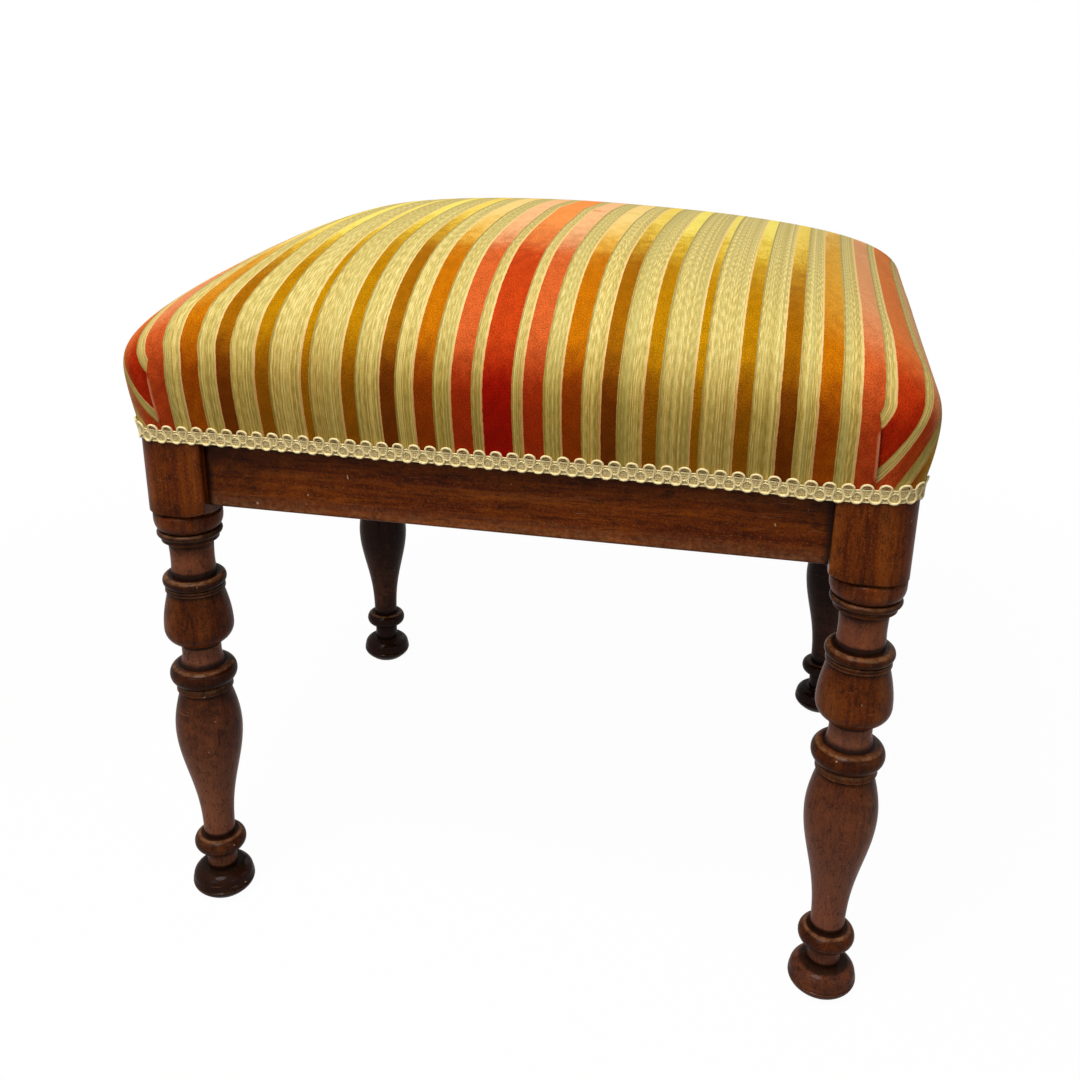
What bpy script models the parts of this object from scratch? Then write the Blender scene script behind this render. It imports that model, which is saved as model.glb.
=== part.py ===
"""Upholstered country stool: four turned legs, a mortised seat frame and a webbed, stuffed-over seat.

Metres, +Z up. The origin is on the floor under the middle of the seat, and -Y is the front.
"""

import math

import bmesh
import bpy
from mathutils import Vector

# Gap left between pieces that touch on the real stool
CLEARANCE = 0.0003

# Leg frame, measured between the leg axes
LEG_SPACING_X = 0.430
LEG_SPACING_Y = 0.363
BLOCK_SIDE = 0.046
BLOCK_HEIGHT = 0.078
BLOCK_CORNER_RADIUS = 0.015
BLOCK_CORNER_CUT = 0.004

# Turned leg from the floor up: the height of each member and its radius
FOOT_BASE_RADIUS = 0.015
FOOT_UNDER_HEIGHT = 0.010
FOOT_RADIUS = 0.022
FOOT_TOP_HEIGHT = 0.022
ANKLE_RADIUS = 0.0096
ANKLE_HEIGHT = 0.005
LOW_RING_HEIGHT = 0.013
LOW_RING_RADIUS = 0.0178
SHANK_RADIUS = 0.0103
SHANK_HEIGHT = 0.087
SHANK_SWELL = 1.35
BELLY_RADIUS = 0.022
BELLY_TOP_HEIGHT = 0.0315
BELLY_TOP_RADIUS = 0.0165
COLLAR_HEIGHT = 0.005
COLLAR_RADIUS = 0.0184
MID_RING_HEIGHT = 0.0145
MID_RING_RADIUS = 0.0223
LOW_NECK_HEIGHT = 0.018
LOW_NECK_RADIUS = 0.0126
BELL_UNDER_HEIGHT = 0.012
BELL_RADIUS = 0.0223
BELL_TOP_HEIGHT = 0.026
BELL_TOP_RADIUS = 0.0177
FILLET_HEIGHT = 0.0035
FILLET_RADIUS = 0.0193
HIGH_RING_HEIGHT = 0.0075
HIGH_RING_RADIUS = 0.0206
HIGH_NECK_HEIGHT = 0.023
HIGH_NECK_RADIUS = 0.0130
CUP_LIP_HEIGHT = 0.0035
CUP_RADIUS = 0.0181
CUP_HEIGHT = 0.0038
BEAD_HEIGHT = 0.0047
BEAD_RADIUS = 0.0204
OVOLO_HEIGHT = 0.012
OVOLO_RADIUS = 0.0226
RING_ROOT = 0.004
LEG_SIDES = 16

# Seat rails
RAIL_HEIGHT = 0.070
RAIL_THICKNESS = 0.022
RAIL_SETBACK = 0.008
RAIL_EDGE_RADIUS = 0.002
BAND_HEIGHT = 0.027
BAND_PROUD = 0.006
TENON_LENGTH = 0.016
TENON_THICKNESS = 0.010
TENON_HEIGHT = 0.046

# Glued corner blocks inside the frame
CORNER_BLOCK_REACH = 0.045
CORNER_BLOCK_HEIGHT = 0.040
CORNER_BLOCK_RISE = 0.012

# Webbing and hessian
WEBBING_WIDTH = 0.055
WEBBING_THICKNESS = 0.0015
WEBBING_END_INSET = 0.006
WEBBING_FOLD_LENGTH = 0.020
WEBBING_FLAT_MARGIN = 0.003
STRAPS_FRONT_TO_BACK = 4
STRAPS_SIDE_TO_SIDE = 3
HESSIAN_THICKNESS = 0.0008

# Upholstery
COVER_THICKNESS = 0.0015
WADDING_THICKNESS = 0.0025
BRAID_HEIGHT = 0.013
BRAID_THICKNESS = 0.0022
BRAID_DROP = 0.0275
HEM_INSIDE_BRAID = 0.0015
SEAT_BULGE = 0.004
SEAT_WIDEST_RISE = 0.022
SHOULDER_REACH = 0.097
SHOULDER_RISE = 0.047
SHOULDER_CORNER_SPREAD = 0.57
CROWN_RISE = 0.028
ARC_STEPS = 5
LONG_SIDE_STEPS = 6
SHORT_SIDE_STEPS = 5
SHOULDER_STEPS = 6
TOP_STEPS = 3

# Heights and reaches that follow from the sizes above
HALF_BLOCK = BLOCK_SIDE / 2
FRAME_HALF_X = LEG_SPACING_X / 2 + HALF_BLOCK
FRAME_HALF_Y = LEG_SPACING_Y / 2 + HALF_BLOCK
TURNED_HEIGHT = sum((
    FOOT_UNDER_HEIGHT, FOOT_TOP_HEIGHT, ANKLE_HEIGHT, LOW_RING_HEIGHT, SHANK_HEIGHT,
    BELLY_TOP_HEIGHT, COLLAR_HEIGHT, MID_RING_HEIGHT, LOW_NECK_HEIGHT, BELL_UNDER_HEIGHT,
    BELL_TOP_HEIGHT, FILLET_HEIGHT, HIGH_RING_HEIGHT, HIGH_NECK_HEIGHT, CUP_LIP_HEIGHT,
    CUP_HEIGHT, BEAD_HEIGHT, OVOLO_HEIGHT,
))
FRAME_TOP = TURNED_HEIGHT + BLOCK_HEIGHT
RAIL_BOTTOM = FRAME_TOP - RAIL_HEIGHT
RAIL_FACE_INSET = RAIL_SETBACK + RAIL_THICKNESS
TENON_BOTTOM = RAIL_BOTTOM + (RAIL_HEIGHT - TENON_HEIGHT) / 2
TENON_CENTRE_INSET = RAIL_SETBACK + RAIL_THICKNESS / 2
FOLD_RADIUS = (WEBBING_THICKNESS + CLEARANCE) / 2
STRAP_HEIGHT = FRAME_TOP + CLEARANCE + WEBBING_THICKNESS / 2
HESSIAN_BOTTOM = STRAP_HEIGHT + 2 * FOLD_RADIUS + WEBBING_THICKNESS / 2 + CLEARANCE
STUFFING_BOTTOM = HESSIAN_BOTTOM + HESSIAN_THICKNESS + CLEARANCE
BRAID_BOTTOM = FRAME_TOP - BRAID_DROP
BRAID_TOP = BRAID_BOTTOM + BRAID_HEIGHT
SKIRT_OFFSET = CLEARANCE + COVER_THICKNESS
SEAT_WIDEST = FRAME_TOP + SEAT_WIDEST_RISE


def clear_scene():
    for thing in list(bpy.data.objects):
        bpy.data.objects.remove(thing, do_unlink=True)


def material(name, colour, roughness, metallic=0.0):
    made = bpy.data.materials.new(name)
    made.use_nodes = True
    shader = made.node_tree.nodes["Principled BSDF"]
    shader.inputs["Base Color"].default_value = (*colour, 1.0)
    shader.inputs["Roughness"].default_value = roughness
    shader.inputs["Metallic"].default_value = metallic
    made.diffuse_color = (*colour, 1.0)
    return made


def add_object(name, points, faces, finish=None, smooth_angle=None):
    """One mesh object from its points and faces, with its normals made to point out."""
    mesh = bpy.data.meshes.new(name)
    mesh.from_pydata([tuple(point) for point in points], [], faces)
    work = bmesh.new()
    work.from_mesh(mesh)
    bmesh.ops.recalc_face_normals(work, faces=work.faces)
    work.to_mesh(mesh)
    work.free()
    if smooth_angle is not None:
        mesh.shade_smooth()
        mesh.set_sharp_from_angle(angle=smooth_angle)
    if finish is not None:
        mesh.materials.append(finish)
    made = bpy.data.objects.new(name, mesh)
    bpy.context.scene.collection.objects.link(made)
    return made


def ring_faces(rings, count):
    """Quads that join rings of count points, each ring to the next."""
    faces = []
    for ring in range(rings - 1):
        for i in range(count):
            j = (i + 1) % count
            low, high = ring * count, (ring + 1) * count
            faces.append((low + i, low + j, high + j, high + i))
    return faces


def prism(name, outline, bottom, top, finish=None):
    """An upright prism on a flat outline of (x, y) points."""
    count = len(outline)
    points = [(x, y, bottom) for x, y in outline] + [(x, y, top) for x, y in outline]
    faces = [tuple(range(count)), tuple(range(count, 2 * count))] + ring_faces(2, count)
    return add_object(name, points, faces, finish)


def box_outline(low_x, high_x, low_y, high_y):
    return [(low_x, low_y), (high_x, low_y), (high_x, high_y), (low_x, high_y)]


def combine(target, tool, operation):
    """A Boolean of the target with a helper, which is then hidden."""
    step = target.modifiers.new(f"{operation.lower()} {tool.name}", "BOOLEAN")
    step.operation = operation
    step.solver = "EXACT"
    step.object = tool
    tool.hide_render = True
    tool.display_type = "WIRE"


def place(thing, root, location=(0, 0, 0), turn=0.0):
    thing.parent = root
    thing.location = location
    thing.rotation_euler = (0, 0, turn)


# Turned members are runs of a profile, each bent by one of these shares of its change of radius
def straight(t):
    return t


def ogee(t):
    return (1 - math.cos(math.pi * t)) / 2


def slow_ogee(t):
    return ogee(t ** SHANK_SWELL)


def quick_first(t):
    return math.sin(t * math.pi / 2)


def quick_last(t):
    return 1 - math.cos(t * math.pi / 2)


class Turning:
    """A lathe profile of (radius, height) points that grows from the floor up."""

    def __init__(self, radius):
        self.points = [(radius, 0.0)]

    def run(self, height, radius, bend, count):
        start_radius, start = self.points[-1]
        for i in range(1, count + 1):
            t = i / count
            self.points.append((start_radius + (radius - start_radius) * bend(t), start + height * t))

    def step(self, radius):
        self.points.append((radius, self.points[-1][1]))

    def ring(self, height, radius, count):
        root, start = self.points[-1]
        for i in range(1, count + 1):
            angle = math.pi * i / count
            across = root + (radius - root) * math.sin(angle)
            self.points.append((across, start + height * (1 - math.cos(angle)) / 2))


def leg_profile():
    turning = Turning(FOOT_BASE_RADIUS)
    turning.run(FOOT_UNDER_HEIGHT, FOOT_RADIUS, quick_first, 3)
    turning.run(FOOT_TOP_HEIGHT, ANKLE_RADIUS, ogee, 5)
    turning.run(ANKLE_HEIGHT, SHANK_RADIUS, straight, 1)
    turning.ring(LOW_RING_HEIGHT, LOW_RING_RADIUS, 5)
    turning.run(SHANK_HEIGHT, BELLY_RADIUS, slow_ogee, 7)
    turning.run(BELLY_TOP_HEIGHT, BELLY_TOP_RADIUS, quick_last, 3)
    turning.step(COLLAR_RADIUS)
    turning.run(COLLAR_HEIGHT, COLLAR_RADIUS, straight, 1)
    turning.step(COLLAR_RADIUS - RING_ROOT)
    turning.ring(MID_RING_HEIGHT, MID_RING_RADIUS, 5)
    turning.run(LOW_NECK_HEIGHT / 2, LOW_NECK_RADIUS, quick_first, 2)
    turning.run(LOW_NECK_HEIGHT / 2, LOW_NECK_RADIUS, straight, 1)
    turning.run(BELL_UNDER_HEIGHT, BELL_RADIUS, quick_first, 3)
    turning.run(BELL_TOP_HEIGHT, BELL_TOP_RADIUS, quick_last, 3)
    turning.step(FILLET_RADIUS)
    turning.run(FILLET_HEIGHT, FILLET_RADIUS, straight, 1)
    turning.step(HIGH_RING_RADIUS - RING_ROOT)
    turning.ring(HIGH_RING_HEIGHT, HIGH_RING_RADIUS, 4)
    turning.run(HIGH_NECK_HEIGHT / 2, HIGH_NECK_RADIUS, quick_first, 2)
    turning.run(HIGH_NECK_HEIGHT / 2, (HIGH_NECK_RADIUS + CUP_RADIUS) / 2, quick_last, 2)
    turning.run(CUP_LIP_HEIGHT, CUP_RADIUS, straight, 1)
    turning.run(CUP_HEIGHT, CUP_RADIUS, straight, 1)
    turning.ring(BEAD_HEIGHT, BEAD_RADIUS, 3)
    turning.run(OVOLO_HEIGHT, OVOLO_RADIUS, quick_first, 3)
    return turning.points


def turned_solid(name, profile, finish):
    points = []
    for radius, height in profile:
        for i in range(LEG_SIDES):
            angle = 2 * math.pi * i / LEG_SIDES
            points.append((radius * math.cos(angle), radius * math.sin(angle), height))
    last = (len(profile) - 1) * LEG_SIDES
    faces = ring_faces(len(profile), LEG_SIDES)
    faces.append(tuple(range(LEG_SIDES)))
    faces.append(tuple(range(last, last + LEG_SIDES)))
    return add_object(name, points, faces, finish, math.radians(40))


def block_helper(name, side_x, side_y):
    """The square top of a leg, with its outer corner rounded and its other lower corners cut."""
    outline = [(HALF_BLOCK, -HALF_BLOCK)]
    centre = HALF_BLOCK - BLOCK_CORNER_RADIUS
    for i in range(ARC_STEPS + 1):
        angle = math.pi / 2 * i / ARC_STEPS
        outline.append((
            centre + BLOCK_CORNER_RADIUS * math.cos(angle),
            centre + BLOCK_CORNER_RADIUS * math.sin(angle),
        ))
    outline += [(-HALF_BLOCK, HALF_BLOCK), (-HALF_BLOCK, -HALF_BLOCK)]
    outline = [(side_x * x, side_y * y) for x, y in outline]
    helper = prism(name, outline, TURNED_HEIGHT, FRAME_TOP)
    work = bmesh.new()
    work.from_mesh(helper.data)
    corner = HALF_BLOCK * math.sqrt(2) - BLOCK_CORNER_CUT
    cut = [v for v in work.verts if v.co.z < FRAME_TOP and v.co.xy.length > corner]
    bmesh.ops.bevel(work, geom=cut, offset=BLOCK_CORNER_CUT, affect="VERTICES", segments=1)
    bmesh.ops.recalc_face_normals(work, faces=work.faces)
    work.to_mesh(helper.data)
    work.free()
    return helper


def mortise_helper(name, side_x, side_y, along_x):
    """A cutter for one tenon, from beyond the block's inner face to just past the tenon's end."""
    middle = HALF_BLOCK - TENON_CENTRE_INSET
    half = TENON_THICKNESS / 2 + CLEARANCE
    start = -HALF_BLOCK - BLOCK_SIDE / 10
    end = -HALF_BLOCK + TENON_LENGTH + 2 * CLEARANCE
    if along_x:
        outline = box_outline(start, end, middle - half, middle + half)
    else:
        outline = box_outline(middle - half, middle + half, start, end)
    outline = [(side_x * x, side_y * y) for x, y in outline]
    low = TENON_BOTTOM - CLEARANCE
    return prism(name, outline, low, low + TENON_HEIGHT + 2 * CLEARANCE)


def make_leg(place_name, side_x, side_y, root, finish):
    profile = leg_profile()
    profile.append((OVOLO_RADIUS, TURNED_HEIGHT + BLOCK_CORNER_CUT))
    leg = turned_solid(f"leg_{place_name}", profile, finish)
    helpers = [
        (block_helper(f"block_{place_name}", side_x, side_y), "UNION"),
        (mortise_helper(f"mortise_x_{place_name}", side_x, side_y, True), "DIFFERENCE"),
        (mortise_helper(f"mortise_y_{place_name}", side_x, side_y, False), "DIFFERENCE"),
    ]
    at = (side_x * LEG_SPACING_X / 2, side_y * LEG_SPACING_Y / 2, 0)
    place(leg, root, at)
    for helper, operation in helpers:
        place(helper, root, at)
        combine(leg, helper, operation)


def make_rail(name, leg_spacing, frame_half, turn, root, finish):
    """A rail along X in front of the middle, with a tacking band at its top and a tenon at each end."""
    face = -(frame_half - RAIL_SETBACK)
    back = face + RAIL_THICKNESS
    band = face - BAND_PROUD
    band_bottom = FRAME_TOP - BAND_HEIGHT
    section = [(back, RAIL_BOTTOM)]
    for i in range(4):
        angle = math.pi / 2 * i / 3
        section.append((
            face + RAIL_EDGE_RADIUS * (1 - math.sin(angle)),
            RAIL_BOTTOM + RAIL_EDGE_RADIUS * (1 - math.cos(angle)),
        ))
    section += [(face, band_bottom), (band, band_bottom), (band, FRAME_TOP), (back, FRAME_TOP)]
    half_length = leg_spacing / 2 - HALF_BLOCK - CLEARANCE
    count = len(section)
    points = [(-half_length, y, z) for y, z in section] + [(half_length, y, z) for y, z in section]
    faces = [tuple(range(count)), tuple(range(count, 2 * count))] + ring_faces(2, count)
    rail = add_object(name, points, faces, finish)
    tip = half_length + TENON_LENGTH
    middle = face + RAIL_THICKNESS / 2
    outline = box_outline(-tip, tip, middle - TENON_THICKNESS / 2, middle + TENON_THICKNESS / 2)
    tenons = prism(f"tenons_{name}", outline, TENON_BOTTOM, TENON_BOTTOM + TENON_HEIGHT)
    place(rail, root, turn=turn)
    place(tenons, root, turn=turn)
    combine(rail, tenons, "UNION")


def make_corner_block(place_name, side_x, side_y, root, finish):
    """A three-cornered block glued between two rails, notched round the leg's inner corner."""
    behind_leg = -(BLOCK_SIDE - RAIL_FACE_INSET) + CLEARANCE
    reach = CORNER_BLOCK_REACH
    inner = [
        (CLEARANCE, behind_leg), (reach, behind_leg), (behind_leg, reach),
        (behind_leg, CLEARANCE), (CLEARANCE, CLEARANCE),
    ]
    corner_x = LEG_SPACING_X / 2 - HALF_BLOCK
    corner_y = LEG_SPACING_Y / 2 - HALF_BLOCK
    outline = [(side_x * (corner_x - x), side_y * (corner_y - y)) for x, y in inner]
    bottom = RAIL_BOTTOM + CORNER_BLOCK_RISE
    block = prism(f"corner_block_{place_name}", outline, bottom, bottom + CORNER_BLOCK_HEIGHT, finish)
    place(block, root)


def spread(length, count):
    """The middles of count equal shares of a length centred on zero."""
    return [length / count * (i - (count - 1) / 2) for i in range(count)]


def strap_path(frame_half, crossings, first_over):
    """The middle line of a strap as (along, height, normal along, normal up), folded back at both ends."""
    end = frame_half - RAIL_SETBACK + BAND_PROUD - WEBBING_END_INSET
    lift = (WEBBING_THICKNESS + CLEARANCE) / 2
    fold = [(end - WEBBING_FOLD_LENGTH, STRAP_HEIGHT + 2 * FOLD_RADIUS, 0, 1)]
    for i in range(5):
        angle = math.pi / 2 - math.pi * i / 4
        across, up = math.cos(angle), math.sin(angle)
        centre = end - FOLD_RADIUS
        fold.append((
            centre + FOLD_RADIUS * across, STRAP_HEIGHT + FOLD_RADIUS * (1 + up), across, up,
        ))
    fold.append((frame_half - RAIL_FACE_INSET, STRAP_HEIGHT, 0, -1))
    start = [(-along, height, -across, up) for along, height, across, up in fold]
    path = list(start)
    for i, crossing in enumerate(crossings):
        height = STRAP_HEIGHT + (lift if (i % 2 == 0) == first_over else -lift)
        flat = WEBBING_WIDTH / 2 + WEBBING_FLAT_MARGIN
        path += [(crossing - flat, height, 0, -1), (crossing + flat, height, 0, -1)]
    return path + list(reversed(fold))


def make_strap(name, path, offset, turn, root, finish):
    half_width, half = WEBBING_WIDTH / 2, WEBBING_THICKNESS / 2
    points = []
    for along, height, across, up in path:
        for side, layer in ((-1, -1), (1, -1), (1, 1), (-1, 1)):
            points.append((
                along + layer * half * across, offset + side * half_width, height + layer * half * up,
            ))
    last = 4 * (len(path) - 1)
    faces = ring_faces(len(path), 4) + [(0, 1, 2, 3), (last, last + 1, last + 2, last + 3)]
    place(add_object(name, points, faces, finish), root, turn=turn)


def make_webbing(root, finish):
    across_x = spread(LEG_SPACING_X - BLOCK_SIDE, STRAPS_FRONT_TO_BACK)
    across_y = spread(LEG_SPACING_Y - BLOCK_SIDE, STRAPS_SIDE_TO_SIDE)
    for i, y in enumerate(across_y):
        path = strap_path(FRAME_HALF_X, across_x, i % 2 == 0)
        make_strap(f"webbing_side_to_side_{i + 1}", path, y, 0.0, root, finish)
    for i, x in enumerate(across_x):
        path = strap_path(FRAME_HALF_Y, across_y, i % 2 == 1)
        make_strap(f"webbing_front_to_back_{i + 1}", path, -x, math.pi / 2, root, finish)


def rounded_outline(offset, corner_spread=0.0):
    """The outline of the leg blocks moved out by offset, always with the same number of points."""
    half_x, half_y = FRAME_HALF_X + offset, FRAME_HALF_Y + offset
    radius = BLOCK_CORNER_RADIUS + max(offset, 0.0) + corner_spread
    corners = ((1, 1, 0), (-1, 1, 1), (-1, -1, 2), (1, -1, 3))
    points = []
    for side_x, side_y, quarter in corners:
        for i in range(ARC_STEPS + 1):
            angle = math.pi / 2 * (quarter + i / ARC_STEPS)
            points.append(Vector((
                side_x * (half_x - radius) + radius * math.cos(angle),
                side_y * (half_y - radius) + radius * math.sin(angle),
            )))
        steps = SHORT_SIDE_STEPS if quarter % 2 else LONG_SIDE_STEPS
        along_x = quarter % 2 == 0
        start = points[-1]
        run = 2 * ((half_x if along_x else half_y) - radius)
        way = Vector((-side_x, 0)) if along_x else Vector((0, -side_y))
        points += [start + way * (run * i / steps) for i in range(1, steps)]
    return points


OUTLINE_POINTS = 4 * (ARC_STEPS + 1) + 2 * (LONG_SIDE_STEPS - 1) + 2 * (SHORT_SIDE_STEPS - 1)


def bulge_at(height):
    share = (height - BRAID_TOP) / (SEAT_WIDEST - BRAID_TOP)
    return SKIRT_OFFSET + SEAT_BULGE * math.sin(min(max(share, 0.0), 1.0) * math.pi / 2)


def crowned(point, height):
    half_x = FRAME_HALF_X + SKIRT_OFFSET + SEAT_BULGE
    half_y = FRAME_HALF_Y + SKIRT_OFFSET + SEAT_BULGE
    rise = CROWN_RISE * (1 - (point.x / half_x) ** 2) * (1 - (point.y / half_y) ** 2)
    return Vector((point.x, point.y, height + rise))


def seat_skin():
    """The cover's outer face as rings of points from the hem up, then its middle point."""
    widest = SKIRT_OFFSET + SEAT_BULGE
    wall = [
        BRAID_BOTTOM + HEM_INSIDE_BRAID, BRAID_TOP, FRAME_TOP + CLEARANCE,
        (STUFFING_BOTTOM + SEAT_WIDEST) / 2, SEAT_WIDEST,
    ]
    rings = []
    for height in wall:
        outline = rounded_outline(bulge_at(height))
        rings.append([Vector((point.x, point.y, height)) for point in outline])
    for i in range(1, SHOULDER_STEPS + 1):
        angle = math.pi / 2 * i / SHOULDER_STEPS
        inset = SHOULDER_REACH * (1 - math.cos(angle))
        outline = rounded_outline(widest - inset, widest + SHOULDER_CORNER_SPREAD * inset)
        height = SEAT_WIDEST + SHOULDER_RISE * math.sin(angle)
        rings.append([crowned(point, height) for point in outline])
    for i in range(1, TOP_STEPS):
        share = 1 - i / TOP_STEPS
        height = SEAT_WIDEST + SHOULDER_RISE
        rings.append([crowned(point * share, height) for point in outline])
    middle = crowned(Vector((0, 0)), SEAT_WIDEST + SHOULDER_RISE)
    return rings, middle


def skin_faces(rings):
    faces = ring_faces(rings, OUTLINE_POINTS)
    low, middle = (rings - 1) * OUTLINE_POINTS, rings * OUTLINE_POINTS
    for i in range(OUTLINE_POINTS):
        faces.append((low + i, low + (i + 1) % OUTLINE_POINTS, middle))
    return faces


def skin_normals(points, faces):
    work = bmesh.new()
    made = [work.verts.new(point) for point in points]
    for face in faces:
        work.faces.new([made[i] for i in face])
    work.normal_update()
    normals = [vert.normal.copy() for vert in made]
    work.free()
    return normals


def seat_layers():
    """A function that gives the seat's skin at any depth under the cover's outer face."""
    rings, middle = seat_skin()
    points = [point for ring in rings for point in ring] + [middle]
    normals = skin_normals(points, skin_faces(len(rings)))

    def layer(depth, first_ring, bottom=None):
        moved = [point - normal * depth for point, normal in zip(points, normals)]
        moved = moved[first_ring * OUTLINE_POINTS:]
        if bottom is not None:
            for point in moved[:OUTLINE_POINTS]:
                point.z = bottom
        return moved

    return layer, len(rings)


def shell(name, outer, inner, rings, finish):
    """A skin of even thickness, closed along its lower edge."""
    faces = skin_faces(rings)
    shift = len(outer)
    faces += [tuple(shift + i for i in face) for face in skin_faces(rings)]
    for i in range(OUTLINE_POINTS):
        j = (i + 1) % OUTLINE_POINTS
        faces.append((i, j, shift + j, shift + i))
    return add_object(name, outer + inner, faces, finish, math.radians(60))


def make_seat(root, finishes):
    layer, rings = seat_layers()
    frame_ring = 2
    under_cover = COVER_THICKNESS + CLEARANCE
    under_wadding = under_cover + WADDING_THICKNESS + CLEARANCE
    cover = shell("seat_cover", layer(0.0, 0), layer(COVER_THICKNESS, 0), rings, finishes["velvet"])
    bottom = FRAME_TOP + CLEARANCE
    outer = layer(under_cover, frame_ring, bottom)
    inner = layer(under_cover + WADDING_THICKNESS, frame_ring, bottom)
    wadding = shell("wadding", outer, inner, rings - frame_ring, finishes["wadding"])
    pad = layer(under_wadding, frame_ring, STUFFING_BOTTOM)
    pad_faces = skin_faces(rings - frame_ring) + [tuple(range(OUTLINE_POINTS))]
    stuffing = add_object("stuffing_pad", pad, pad_faces, finishes["hair"], math.radians(60))
    hessian_offset = bulge_at(FRAME_TOP + CLEARANCE) - under_wadding - CLEARANCE
    outline = [tuple(point) for point in rounded_outline(hessian_offset)]
    hessian = prism(
        "hessian", outline, HESSIAN_BOTTOM, HESSIAN_BOTTOM + HESSIAN_THICKNESS, finishes["hessian"],
    )
    for thing in (cover, wadding, stuffing, hessian):
        place(thing, root)


def make_braid(root, finish):
    """A band round the cover's lower edge, with its long edges eased."""
    inner = SKIRT_OFFSET + CLEARANCE
    outer = inner + BRAID_THICKNESS
    eased = BRAID_THICKNESS / 2
    section = [
        (inner, BRAID_BOTTOM), (inner + eased, BRAID_BOTTOM), (outer, BRAID_BOTTOM + eased),
        (outer, BRAID_TOP - eased), (inner + eased, BRAID_TOP), (inner, BRAID_TOP),
    ]
    points = []
    for offset, height in section:
        points += [(point.x, point.y, height) for point in rounded_outline(offset)]
    count = OUTLINE_POINTS
    faces = ring_faces(len(section), count)
    last = (len(section) - 1) * count
    for i in range(count):
        j = (i + 1) % count
        faces.append((last + i, last + j, j, i))
    place(add_object("gimp_braid", points, faces, finish), root)


def build():
    clear_scene()
    wood = material("polished walnut", (0.105, 0.040, 0.018), 0.32)
    plain_wood = material("plain beech", (0.32, 0.20, 0.10), 0.65)
    jute = material("jute webbing", (0.36, 0.25, 0.13), 0.9)
    finishes = {
        "velvet": material("striped velvet", (0.42, 0.26, 0.11), 0.85),
        "wadding": material("cotton wadding", (0.80, 0.77, 0.70), 0.95),
        "hair": material("hair stuffing", (0.16, 0.11, 0.07), 0.95),
        "hessian": material("hessian", (0.40, 0.29, 0.16), 0.95),
    }
    cream = material("cream braid", (0.62, 0.52, 0.30), 0.8)
    root = bpy.data.objects.new("stool", None)
    bpy.context.scene.collection.objects.link(root)
    for row, side_y in (("front", -1), ("back", 1)):
        for column, side_x in (("left", -1), ("right", 1)):
            make_leg(f"{row}_{column}", side_x, side_y, root, wood)
            make_corner_block(f"{row}_{column}", side_x, side_y, root, plain_wood)
    make_rail("rail_front", LEG_SPACING_X, FRAME_HALF_Y, 0.0, root, wood)
    make_rail("rail_right", LEG_SPACING_Y, FRAME_HALF_X, math.pi / 2, root, wood)
    make_rail("rail_back", LEG_SPACING_X, FRAME_HALF_Y, math.pi, root, wood)
    make_rail("rail_left", LEG_SPACING_Y, FRAME_HALF_X, -math.pi / 2, root, wood)
    make_webbing(root, jute)
    make_seat(root, finishes)
    make_braid(root, cream)


build()
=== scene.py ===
# %% [markdown]
# # A country stool, dressed for its picture
# The stool has four turned legs, a mortised seat frame, and a seat that is stuffed over the frame and
# covered in striped velvet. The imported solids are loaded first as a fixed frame, in metres, with the floor
# at zero and the front towards -Y. Each cell after that makes one piece or one finish and says why.

# %% The frame
import math
from collections import namedtuple

import bmesh
import bpy
import numpy as np
from mathutils import Matrix, Vector


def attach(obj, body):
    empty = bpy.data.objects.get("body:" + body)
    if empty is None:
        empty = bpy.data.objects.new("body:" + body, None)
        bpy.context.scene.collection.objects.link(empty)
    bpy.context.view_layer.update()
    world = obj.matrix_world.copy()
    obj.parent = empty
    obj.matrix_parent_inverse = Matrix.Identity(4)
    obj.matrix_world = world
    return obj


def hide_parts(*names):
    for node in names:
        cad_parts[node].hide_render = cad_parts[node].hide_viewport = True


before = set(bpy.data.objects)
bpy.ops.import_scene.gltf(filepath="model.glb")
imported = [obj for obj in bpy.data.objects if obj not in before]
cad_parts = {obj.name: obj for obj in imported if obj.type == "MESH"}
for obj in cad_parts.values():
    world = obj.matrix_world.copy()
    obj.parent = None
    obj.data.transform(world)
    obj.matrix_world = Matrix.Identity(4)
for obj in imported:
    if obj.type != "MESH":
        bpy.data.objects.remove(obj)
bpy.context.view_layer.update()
print("solids loaded:", len(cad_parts))

# %% [markdown]
# ## Camera
# The picture was taken from close by, a little above the seat and a little to the right of the middle.
# The camera was solved from the edges of the frame and the turned legs, so its place is written out.
# A small shift stands for the cropping of the picture. A camera set by eye would do for a likeness, but
# with a solved one every later piece can be held against the picture.

# %% Camera
CAMERA_AT = Vector((0.15742, -0.82989, 0.58666))
CAMERA_YAW = math.radians(-12.231)
CAMERA_DIP = math.radians(20.524)
CAMERA_ROLL = math.radians(-0.637)


def camera_turn():
    forward = Vector((
        math.sin(CAMERA_YAW) * math.cos(CAMERA_DIP),
        math.cos(CAMERA_YAW) * math.cos(CAMERA_DIP),
        -math.sin(CAMERA_DIP),
    ))
    level = Vector((math.cos(CAMERA_YAW), -math.sin(CAMERA_YAW), 0))
    down = forward.cross(level)
    right = math.cos(CAMERA_ROLL) * level + math.sin(CAMERA_ROLL) * down
    up = math.sin(CAMERA_ROLL) * level - math.cos(CAMERA_ROLL) * down
    return Matrix((right, up, -forward)).transposed().to_4x4()


lens = bpy.data.cameras.new("camera")
lens.sensor_width = 36
lens.lens = 39.26
lens.shift_x = 0.0039
lens.shift_y = -0.0524
camera = bpy.data.objects.new("camera", lens)
camera.matrix_world = Matrix.Translation(CAMERA_AT) @ camera_turn()
bpy.context.scene.collection.objects.link(camera)
bpy.context.scene.camera = camera
print("camera height:", round(CAMERA_AT.z, 3))

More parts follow.
